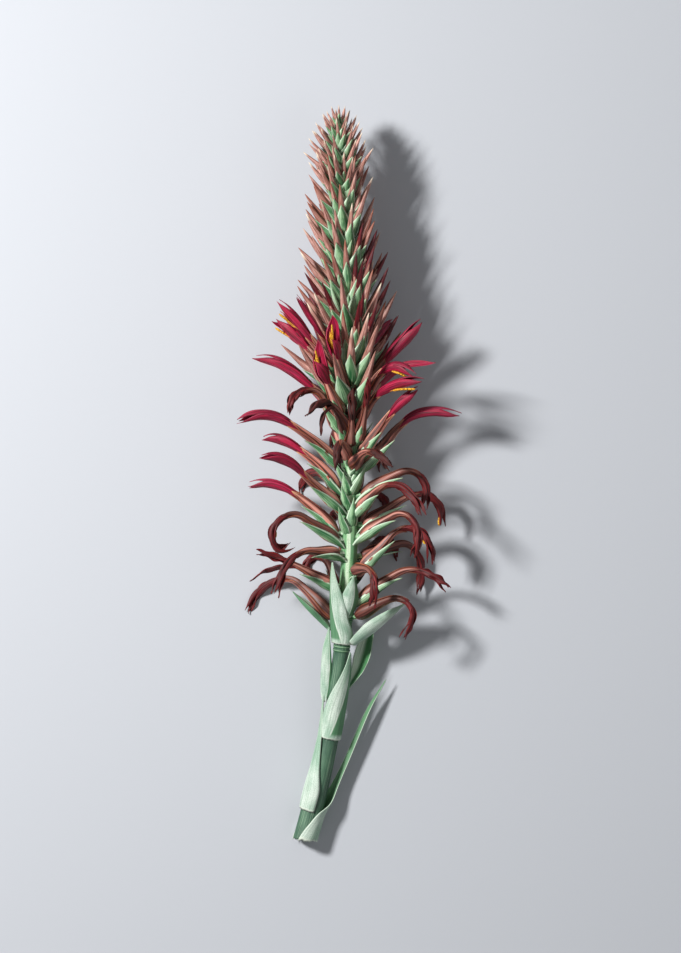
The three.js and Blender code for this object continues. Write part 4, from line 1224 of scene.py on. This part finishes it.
def placed_courses():
    """Courses of the bracts and buds, bent clear of the flowers and of one another in order."""
    beads = Beads()
    flower_beads(beads)
    leaf_beads(beads)
    low_rows = [row for row in FRONT_BRACTS if row[0] < STALK_TOP]
    high_rows = [row for row in FRONT_BRACTS if row[0] > STALK_TOP]
    stalk = [(front_bract_course(beads, row), FRONT, LONG_BRACT) for row in low_rows]
    for row in ALL_FLOWERS:
        if LOWEST_BRACT < row["along"] < STALK_TOP:
            keep_room_for_bract(beads, row)
    spike = [(front_bract_course(beads, row), FRONT, LONG_BRACT) for row in high_rows]
    for row in GAP_BRACTS:
        course = front_bract_course(beads, row, COLUMN["half"] * COLUMN_BEAD_SHARE, COLUMN_ROOM)
        stalk.append((course, COLUMN, LONG_BRACT))
    for number, along in enumerate(np.arange(COLUMN_FROM, COLUMN_TO, COLUMN_SPACING)):
        turn = COLUMN_TURNS[number % len(COLUMN_TURNS)]
        course = column_course(beads, along, turn, COLUMN_HEADINGS[number % len(COLUMN_HEADINGS)])
        narrower = 1 - COLUMN_NARROWING * smooth_step(along, COLUMN_NARROWS_FROM, COLUMN_TO)
        row = (course, {**COLUMN, "half": COLUMN["half"] * narrower}, LONG_BRACT)
        (stalk if along < STALK_TOP - STALK_MARGIN else spike).append(row)
    buds = []
    turn = FIRST_TURN
    for along in np.arange(FIRST_BUD, LAST_BUD, BUD_SPACING):
        buds.append((bud_course(beads, along, turn), along, turn))
        turn += GOLDEN_ANGLE
    for along in np.arange(FIRST_BUD, LEAFY_END, LEAFY_SPACING):
        spike.append((leafy_course(beads, along, turn), LEAFY, SHORT_BRACT))
        turn += GOLDEN_ANGLE
    for start, end, spacing, size in MORE_BUDS:
        for along in np.arange(start, end, spacing):
            buds.append((bud_course(beads, along, turn, size, MORE_BUDS_ROOM), along, turn))
            turn += GOLDEN_ANGLE
    return [[item for item in items if item[0] is not None] for items in (stalk, spike, buds)]


def flower_cradle_look(row):
    """The bract that holds a flower: longer low on the stem, and turned up beside it."""
    low = 1 - smooth_step(row["along"], *FLOWER_CRADLE_LOW)
    calyx_length = length_of(row["calyx"])
    calyx_share = calyx_length / (calyx_length + length_of(row["petals"][0]))
    turn = math.radians(row["turn"])
    return {
        **FLOWER_CRADLE,
        "end": calyx_share * (FLOWER_CRADLE_END + FLOWER_CRADLE_END_LOW * low) * row["bract"],
        "lean": FLOWER_CRADLE_LEAN * abs(math.cos(turn)),
        "half": FLOWER_CRADLE["half"] * row["bract"],
        "roll": FLOWER_CRADLE_ROLL if math.sin(turn) > FLOWER_CRADLE_ROLL_ABOVE else 0,
    }


def flower_stalk(bracts):
    """The stem below the spike, with its bracts."""
    draw = random.Random(STALK_SEED)
    shape = Shape()
    stem(shape, CUT_END, STALK_TOP, STALK_SPACING, stem_radius, False)
    for course, size, rows in bracts:
        bract(shape, course, size, rows, draw)
    for row in ALL_FLOWERS:
        if row["along"] < LOWEST_BRACT:
            continue
        look = flower_cradle_look(row)
        course = flower_course(row, row["petals"][0], FINE_STEP)
        root = stem_radius(row["along"] - look["below"]) - ROOT_DEPTH
        cradle(shape, course, row["along"], row["turn"], root, look, draw)
    return shape


def bud_spike(bracts, buds):
    """The stem above the open flowers, with its buds and bracts."""
    draw = random.Random(SPIKE_SEED)
    shape = Shape()
    stem(shape, STALK_TOP + JOINT_GAP, STEM_TIP, SPIKE_SPACING, core_radius, True)
    for course, size, rows in bracts:
        bract(shape, course, size, rows, draw)
    for course, along, turn in buds:
        radius = read_table(BUD_TABLE, along, 3)
        ones = OPENING_RIGHT if math.cos(math.radians(turn)) > RIGHT_SIDE_FROM else OPENING_LEFT
        opening = ones["from"] < along < ones["to"] and draw.random() < ones["chance"]
        tone = draw.uniform(*(PALE_TONES if along > PALE_BUDS_FROM else BUD_TONES))
        bud(shape, course, radius, opening, tone, draw)
        upward = smooth_step(math.sin(math.radians(turn)), *BUD_CRADLE_UP)
        look = {
            **BUD_CRADLE,
            "girth": radius,
            "half": radius * (BUD_CRADLE_HALF + BUD_CRADLE_HALF_UP * upward),
            "end": draw.uniform(*BUD_CRADLE_END) + BUD_CRADLE_END_UP * upward,
        }
        cradle(shape, course, along, turn, core_radius(along) - ROOT_DEPTH, look, draw)
    return shape


# Materials

def shade(red, green, blue):
    """A colour as it shows on a screen, turned into the light that makes it."""
    def linear(value):
        return value / 12.92 if value <= 0.04045 else ((value + 0.055) / 1.055) ** 2.4
    return (linear(red), linear(green), linear(blue), 1.0)


class Wire:
    """A socket of a finish, so that sums on its value make the Math nodes."""

    def __init__(self, finish, socket):
        self.finish = finish
        self.socket = socket

    def maths(self, operation, first, second=0.0):
        return self.finish.node("ShaderNodeMath", {"operation": operation}, {0: first, 1: second})

    def __add__(self, other):
        return self.maths("ADD", self, other)

    def __radd__(self, other):
        return self.maths("ADD", other, self)

    def __sub__(self, other):
        return self.maths("SUBTRACT", self, other)

    def __rsub__(self, other):
        return self.maths("SUBTRACT", other, self)

    def __mul__(self, other):
        return self.maths("MULTIPLY", self, other)

    def __rmul__(self, other):
        return self.maths("MULTIPLY", other, self)

    def size(self):
        return self.maths("ABSOLUTE", self)


class Finish:
    """A material made of nodes."""

    def __init__(self, name):
        self.material = bpy.data.materials.new(name)
        self.material.use_nodes = True
        self.tree = self.material.node_tree
        self.tree.nodes.clear()

    def made(self, kind, settings, inputs):
        """A node with its settings first and then its inputs, each a value or a wire."""
        made = self.tree.nodes.new(kind)
        for key, value in settings.items():
            setattr(made, key, value)
        for key, value in inputs.items():
            if isinstance(value, Wire):
                self.tree.links.new(value.socket, made.inputs[key])
            else:
                made.inputs[key].default_value = value
        return made

    def node(self, kind, settings, inputs, output=0):
        return Wire(self, self.made(kind, settings, inputs).outputs[output])

    def mark(self, name):
        """One of the marks that every surface carries."""
        return self.node("ShaderNodeAttribute", {"attribute_name": name}, {}, "Fac")

    def mix(self, factor, first, second):
        return self.node("ShaderNodeMix", {"data_type": "RGBA"}, {0: factor, 6: first, 7: second}, 2)

    def between(self, value, low, high):
        """Nought below one value, one above the other, and smooth between."""
        return self.node("ShaderNodeMapRange", {"interpolation_type": "SMOOTHSTEP"},
                         {0: value, 1: low, 2: high, 3: 0.0, 4: 1.0})

    def noise(self, x, y, z, detail=3.0):
        """Streaks on an organ, from its marks, each times how fine the streaks are that way."""
        place = self.node("ShaderNodeCombineXYZ", {}, {0: x, 1: y, 2: z})
        return self.node("ShaderNodeTexNoise", {}, {"Vector": place, "Scale": 1.0, "Detail": detail})

    def speckle(self, scale):
        """A fine even grain, with so many grains to the metre."""
        place = self.node("ShaderNodeTexCoord", {}, {}, "Object")
        return self.node("ShaderNodeTexNoise", {}, {"Vector": place, "Scale": scale, "Detail": 2.0})

    def close(self, colour, roughness, relief, relief_depth, coat=0.0):
        """Ends the material with its surface."""
        bump = self.node("ShaderNodeBump", {}, {
            "Strength": 1.0,
            "Distance": relief_depth * MM,
            "Height": relief,
        })
        surface = self.made("ShaderNodeBsdfPrincipled", {}, {
            "Base Color": colour,
            "Roughness": roughness,
            "Normal": bump,
            "Coat Weight": coat,
            "Coat Roughness": COAT_ROUGHNESS,
        })
        self.made("ShaderNodeOutputMaterial", {}, {"Surface": Wire(self, surface.outputs[0])})
        return self.material


def calyx_skin(name, tips, dark, painted_highlight):
    """Brown pink sepals, each with a painted highlight along its ridge, dark creases beside it and ochre
    edges.
    """
    f = Finish(name)
    reach, across, tone = f.mark("reach"), f.mark("across"), f.mark("tone")
    streaks = f.noise(across * 3.6, reach * 1.6, tone * 37, detail=4.0)
    fine = f.noise(across * 12, reach * 3, tone * 61, detail=2.0)
    base = f.mix(f.between(streaks, 0.4, 0.6), shade(0.34, 0.14, 0.11), shade(0.72, 0.42, 0.37))
    base = f.mix(f.between(fine, 0.5, 0.66) * 0.7, base, shade(0.23, 0.08, 0.05))
    base = f.mix(f.between(fine, 0.48, 0.34) * 0.5, base, shade(0.86, 0.56, 0.48))
    # Painted highlight down the middle of each sepal, as strong as the last argument
    highlight_ridge = (1 - f.between(across.size(), 0.04, 0.34)) * f.between(reach, 0.03, 0.2)
    base = f.mix(highlight_ridge * painted_highlight, base, shade(0.94, 0.68, 0.6))
    seam = f.between(across.size(), 0.36, 0.48) * (1 - f.between(across.size(), 0.52, 0.64))
    base = f.mix(seam * 0.8, base, shade(0.16, 0.05, 0.03))
    edge = f.between(across.size(), 0.8, 0.95)
    base = f.mix(edge * 0.75, base, shade(0.74, 0.4, 0.18))
    tip = f.between(reach + (streaks - 0.5) * 0.1, 0.84, 0.97)
    base = f.mix(tip * 0.8, base, tips)
    base = f.mix(f.between(tone, 0.2, 1.0) * dark, base, shade(0.25, 0.09, 0.06))
    return f.close(base, 0.4 + fine * 0.2, streaks * 0.6 + fine * 0.4, 0.25, coat=0.1)


def petal_skin(name, light, middle, dark, margin, roughness):
    """Petals streaked from root to tip in three shades, with a lighter margin."""
    f = Finish(name)
    reach, across, tone = f.mark("reach"), f.mark("across"), f.mark("tone")
    streaks = f.noise(across * 6, reach * 1.2, tone * 43, detail=4.0)
    fine = f.noise(across * 22, reach * 3, tone * 71, detail=2.0)
    lines = f.noise(across * 13, reach * 0.8, tone * 97, detail=1.0)
    base = f.mix(f.between(streaks, 0.34, 0.6), dark, middle)
    base = f.mix(f.between(fine, 0.5, 0.7) * 0.6, base, light)
    base = f.mix(f.between(lines, 0.42, 0.3) * 0.75, base, dark)
    base = f.mix(f.between(f.noise(across * 2, reach * 5, tone * 19), 0.52, 0.75) * 0.5, base, dark)
    edge = f.between(across.size(), 0.84, 1.0) * f.between(reach, 0.4, 0.8)
    base = f.mix(edge * 0.5, base, margin)
    return f.close(base, roughness + fine * 0.2, streaks * 0.5 + fine * 0.5, 0.25)


def anther_skin():
    """Yellow grains of pollen."""
    f = Finish("pollen")
    grain = f.speckle(1400.0)
    base = f.mix(f.between(grain, 0.35, 0.68), shade(0.72, 0.42, 0.05), shade(0.98, 0.79, 0.22))
    return f.close(base, 0.8, grain, 0.2)


def filament_skin():
    """Red at the root and yellow at the tip."""
    f = Finish("filament")
    reach = f.mark("reach")
    base = f.mix(reach, shade(0.7, 0.24, 0.22), shade(0.93, 0.66, 0.3))
    return f.close(base, 0.5, f.speckle(900.0), 0.05)


def bract_skin():
    """A veined green leaf with a painted highlight on one side, painted shade on the other side and at its
    root, and a white edge.
    """
    f = Finish("bract_green")
    reach, across, tone = f.mark("reach"), f.mark("across"), f.mark("tone")
    veins = f.noise(across * 9, reach * 1.4, tone * 53, detail=3.0)
    patches = f.noise(across * 1.5, reach * 4, tone * 29, detail=3.0)
    base = f.mix(f.between(patches, 0.3, 0.7), shade(0.22, 0.49, 0.29), shade(0.63, 0.82, 0.6))
    base = f.mix(f.between(veins, 0.48, 0.66) * 0.5, base, shade(0.82, 0.93, 0.77))
    base = f.mix(f.between(veins, 0.54, 0.36) * 0.75, base, shade(0.1, 0.33, 0.18))
    base = f.mix(f.between(tone, 0.5, 1.0) * 0.4, base, shade(0.12, 0.4, 0.2))
    # Painted highlight on one side of the bract and painted shade on the other
    base = f.mix(f.between(across, 0.1, -0.7) * 0.45, base, shade(0.8, 0.92, 0.78))
    base = f.mix(f.between(across, 0.0, 0.5) * 0.55, base, shade(0.13, 0.4, 0.22))
    # Painted shade at the root, where the bract is tucked among the other organs
    base = f.mix(f.between(reach, 0.24, 0.02) * 0.55, base, shade(0.07, 0.25, 0.14))
    base = f.mix(f.between(across.size(), 0.7, 0.9) * 0.8, base, shade(0.9, 0.97, 0.87))
    base = f.mix(f.between(reach, 0.86, 1.0) * 0.5, base, shade(0.86, 0.9, 0.74))
    return f.close(base, 0.5 + veins * 0.15, veins * 0.8 + patches * 0.2, 0.25)


def sheath_skin(name, look):
    """A pale leaf that is green on one side of its rib, partly its own green and partly painted shade, with a
    painted highlight along the rib; look is a row of SHEATH_LOOKS.
    """
    side, rib_start, rib_lean, inside_start, inside_gain, inside_tilt = look
    f = Finish(name)
    reach, across, tone = f.mark("reach"), f.mark("across"), f.mark("tone")
    veins = f.noise(across * 16, reach * 1.2, tone * 53, detail=3.0)
    patches = f.noise(across * 1.2, reach * 3, tone * 29, detail=3.0)
    stipple = f.speckle(2600.0)
    base = f.mix(f.between(patches, 0.3, 0.7), shade(0.64, 0.76, 0.67), shade(0.9, 0.94, 0.89))
    base = f.mix(f.between(veins, 0.5, 0.7) * 0.55, base, shade(0.4, 0.58, 0.44))
    base = f.mix(f.between(reach, 0.4, 1.0) * 0.4, base, shade(0.4, 0.62, 0.43))
    base = f.mix(f.between(stipple, 0.5, 0.64) * 0.4, base, shade(0.34, 0.52, 0.39))
    # The green on one side of the rib is partly the leaf's own green and partly painted shade, and the white
    # band along the rib is a painted highlight
    from_rib = (across - rib_start - reach * rib_lean) * side
    above_foot = f.between(reach, 0.03, 0.08)
    base = f.mix(f.between(from_rib, 0.0, 0.06) * above_foot * 0.9, base, shade(0.27, 0.5, 0.32))
    rib_highlight = f.between(from_rib.size(), 0.05, 0.02)
    base = f.mix(rib_highlight * above_foot * 0.6, base, shade(0.93, 0.96, 0.9))
    green_inside = f.between(inside_start + reach * inside_gain + across * inside_tilt, 0.0, 1.0)
    inside = f.mix(green_inside, shade(0.88, 0.94, 0.86), shade(0.3, 0.54, 0.33))
    base = f.mix(f.mark("inside") * 0.85, base, inside)
    base = f.mix(f.between(veins, 0.52, 0.4) * 0.35, base, shade(0.22, 0.4, 0.27))
    base = f.mix(f.between(across.size(), 0.94, 1.0) * 0.7, base, shade(0.9, 0.94, 0.87))
    base = f.mix(f.between(reach, 0.03, 0.01) * 0.8, base, shade(0.9, 0.93, 0.86))
    return f.close(base, 0.52 + stipple * 0.15, veins * 0.7 + stipple * 0.3, 0.22)


def stem_skin():
    """Dull green below and bright above, with a painted highlight streak along the top, painted shade towards
    the right side, and dark grooves in the rings.

    The tone mark is nought here apart from the rings, where it is the ring's height.
    """
    f = Finish("stem_green")
    reach, across, ring = f.mark("reach"), f.mark("across"), f.mark("tone")
    round_it = across.size()
    broad = f.noise(round_it * 3, reach * 14, 3.0, detail=2.0)
    lines = f.noise(round_it * 46, reach * 9, 8.0, detail=3.0)
    stipple = f.speckle(2200.0)
    lower = f.mix(f.between(broad, 0.3, 0.7), shade(0.19, 0.33, 0.26), shade(0.34, 0.48, 0.38))
    upper = f.mix(f.between(broad, 0.3, 0.7), shade(0.36, 0.6, 0.4), shade(0.56, 0.76, 0.54))
    # Painted highlight along the top of the stem and painted shade towards its right side
    highlight_streak = f.between((across - 0.46).size() + (broad - 0.5) * 0.1, 0.12, 0.04)
    upper = f.mix(highlight_streak * 0.8, upper, shade(0.88, 0.95, 0.83))
    upper = f.mix(f.between(across, 0.6, 0.72) * 0.6, upper, shade(0.12, 0.36, 0.2))
    base = f.mix(f.between(reach, 0.5, 0.58), lower, upper)
    base = f.mix(f.between(lines, 0.54, 0.7) * 0.45, base, shade(0.72, 0.82, 0.68))
    base = f.mix(f.between(lines, 0.46, 0.3) * 0.5, base, shade(0.14, 0.3, 0.18))
    base = f.mix(f.between(stipple, 0.52, 0.66) * 0.3, base, shade(0.2, 0.34, 0.23))
    base = f.mix(f.between(ring, 0.02, 0.4) * 0.75, base, shade(0.17, 0.36, 0.22))
    base = f.mix(f.between(ring, 0.6, 0.9) * 0.55, base, shade(0.66, 0.8, 0.64))
    return f.close(base, 0.5 + lines * 0.15, lines * 0.7 + stipple * 0.3, 0.2)


def bud_skin():
    """A pink brown bud with a green foot; its tip is pale at a low tone and brown at a high one."""
    f = Finish("bud_brown")
    reach, across, tone = f.mark("reach"), f.mark("across"), f.mark("tone")
    streaks = f.noise(across.size() * 5, reach * 1.6, tone * 47, detail=3.0)
    fine = f.noise(across.size() * 16, reach * 5, tone * 83, detail=2.0)
    base = f.mix(f.between(streaks, 0.34, 0.68), shade(0.5, 0.29, 0.25), shade(0.8, 0.58, 0.52))
    base = f.mix(f.between(fine, 0.5, 0.66) * 0.6, base, shade(0.92, 0.75, 0.7))
    base = f.mix(f.between(fine, 0.46, 0.34) * 0.7, base, shade(0.3, 0.12, 0.08))
    base = f.mix(f.between(tone, 0.45, 1.0) * 0.45, base, shade(0.5, 0.24, 0.15))
    base = f.mix((1 - f.between(reach, 0.02, 0.16)) * 0.8, base, shade(0.6, 0.7, 0.5))
    base = f.mix(f.between(reach, 0.82, 0.97) * f.between(tone, 0.42, 0.3), base, shade(0.94, 0.86, 0.76))
    base = f.mix(f.between(reach, 0.78, 1.0) * f.between(tone, 0.45, 0.65) * 0.7, base, shade(0.6, 0.3, 0.15))
    return f.close(base, 0.42 + fine * 0.2, streaks * 0.6 + fine * 0.4, 0.22, coat=0.05)


# The table, the light and the view

def table_top():
    """A pale table with a very fine grain."""
    f = Finish("table_top")
    grain = f.speckle(160.0)
    colour = f.mix(grain * 0.06, shade(0.76, 0.77, 0.79), shade(0.71, 0.73, 0.75))
    material = f.close(colour, 0.75, grain, 0.02)
    mesh = bpy.data.meshes.new("table_top")
    reach = TABLE_REACH * MM
    corners = [(-reach, -reach, 0), (reach, -reach, 0), (reach, reach, 0), (-reach, reach, 0)]
    mesh.from_pydata(corners, [], [(0, 1, 2, 3)])
    mesh.materials.append(material)
    made = bpy.data.objects.new("table_top", mesh)
    bpy.context.scene.collection.objects.link(made)


def soft_light(name, place, size, power):
    """A square light that looks at the part's origin."""
    data = bpy.data.lights.new(name, "AREA")
    data.size = size * MM
    data.energy = power
    made = bpy.data.objects.new(name, data)
    made.location = [value * MM for value in place]
    x, y, z = place
    made.rotation_euler = (math.atan2(math.hypot(x, y), z), 0, math.atan2(y, x) + math.pi / 2)
    bpy.context.scene.collection.objects.link(made)


def studio():
    """A dim even sky and the square lights."""
    world = bpy.data.worlds.new("studio")
    world.use_nodes = True
    background = world.node_tree.nodes["Background"]
    background.inputs[0].default_value = SKY_COLOUR
    background.inputs[1].default_value = SKY_STRENGTH
    bpy.context.scene.world = world
    for light in LIGHTS:
        soft_light(*light)
    bpy.context.scene.view_settings.view_transform = "Standard"


def photograph_view():
    """A camera straight above that sees as much as the painting shows, at the part's scale."""
    width, height = PICTURE_PIXELS
    x = (width / 2 - PIXEL_OF_ORIGIN[0]) * MM_PER_PIXEL - ORIGIN_SHIFT[0]
    y = (PIXEL_OF_ORIGIN[1] - height / 2) * MM_PER_PIXEL - ORIGIN_SHIFT[1]
    data = bpy.data.cameras.new("photograph_view")
    data.sensor_width = SENSOR
    data.lens = SENSOR * (CAMERA_HEIGHT - VIEW_PLANE) / (height * MM_PER_PIXEL)
    data.clip_end = FARTHEST_SEEN * MM
    made = bpy.data.objects.new("photograph_view", data)
    made.location = (x * MM, y * MM, CAMERA_HEIGHT * MM)
    bpy.context.scene.collection.objects.link(made)
    bpy.context.scene.camera = made


def stands_for(piece, node):
    """Rides the piece on the part's one body, in place of its solid."""
    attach(piece, "root")
    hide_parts(node)


def petal_skins():
    """Petals of a fresh flower, a withered one and one dried almost black, and of a bud."""
    fresh = petal_skin("fresh_petal", shade(0.88, 0.25, 0.45), shade(0.67, 0.04, 0.22),
                       shade(0.31, 0.0, 0.08), shade(0.92, 0.42, 0.52), 0.42)
    withered = petal_skin("withered_petal", shade(0.68, 0.13, 0.14), shade(0.44, 0.04, 0.06),
                          shade(0.12, 0.01, 0.01), shade(0.6, 0.14, 0.14), 0.5)
    dark = petal_skin("dark_petal", shade(0.52, 0.17, 0.1), shade(0.29, 0.06, 0.04),
                      shade(0.1, 0.02, 0.01), shade(0.45, 0.15, 0.08), 0.6)
    in_bud = petal_skin("bud_petal", shade(0.6, 0.07, 0.15), shade(0.4, 0.02, 0.07),
                        shade(0.17, 0.0, 0.02), shade(0.7, 0.16, 0.2), 0.4)
    return fresh, withered, dark, in_bud


def dress_flowers(petal_finishes, shared):
    """A flower in place of each bloom's solid."""
    # The last number of each calyx is how strong the painted highlight along its sepals' ridges is
    fresh_calyx = calyx_skin("fresh_calyx", shade(0.85, 0.62, 0.45), 0.3, 0.55)
    old_calyx = calyx_skin("old_calyx", shade(0.45, 0.2, 0.12), 0.75, 0.34)
    fresh_petal, withered_petal, dark_petal = petal_finishes
    for number, row in enumerate(ALL_FLOWERS, start=1):
        if row["fresh"]:
            finishes = [fresh_calyx, fresh_petal]
        else:
            finishes = [old_calyx, dark_petal if number in DARK_FLOWERS else withered_petal]
        piece = bloom(number, row).piece(f"flower_{number:02d}", [*finishes, *shared])
        stands_for(piece, f"bloom_{number:02d}")


def dress_leaves():
    """The sheathing leaves, and then the boat-shaped ones, in place of their solids."""
    sheaths = [sheath(leaf, k) for k, leaf in enumerate(SHEATHS)]
    boats = [boat(leaf, k) for k, leaf in enumerate(BOATS)]
    for number, (shape, look) in enumerate(zip(sheaths + boats, SHEATH_LOOKS), start=1):
        finish = sheath_skin(f"sheath_green_{number}", look)
        piece = shape.piece(f"sheathing_leaf_{number}", [finish])
        stands_for(piece, f"sheath_bract_{number}")


def dress_part():
    """Makes every piece of the plant in place of its solid."""
    *petal_finishes, bud_petal = petal_skins()
    green = bract_skin()
    dress_flowers(petal_finishes, [anther_skin(), filament_skin(), green])
    dress_leaves()
    stalk_bracts, spike_bracts, buds = placed_courses()
    finishes = [stem_skin(), green, bud_skin(), bud_petal]
    stands_for(flower_stalk(stalk_bracts).piece("stalk_and_bracts", finishes), "flower_stalk")
    stands_for(bud_spike(spike_bracts, buds).piece("spike_of_buds", finishes), "bud_spike")


dress_part()
table_top()
studio()
photograph_view()
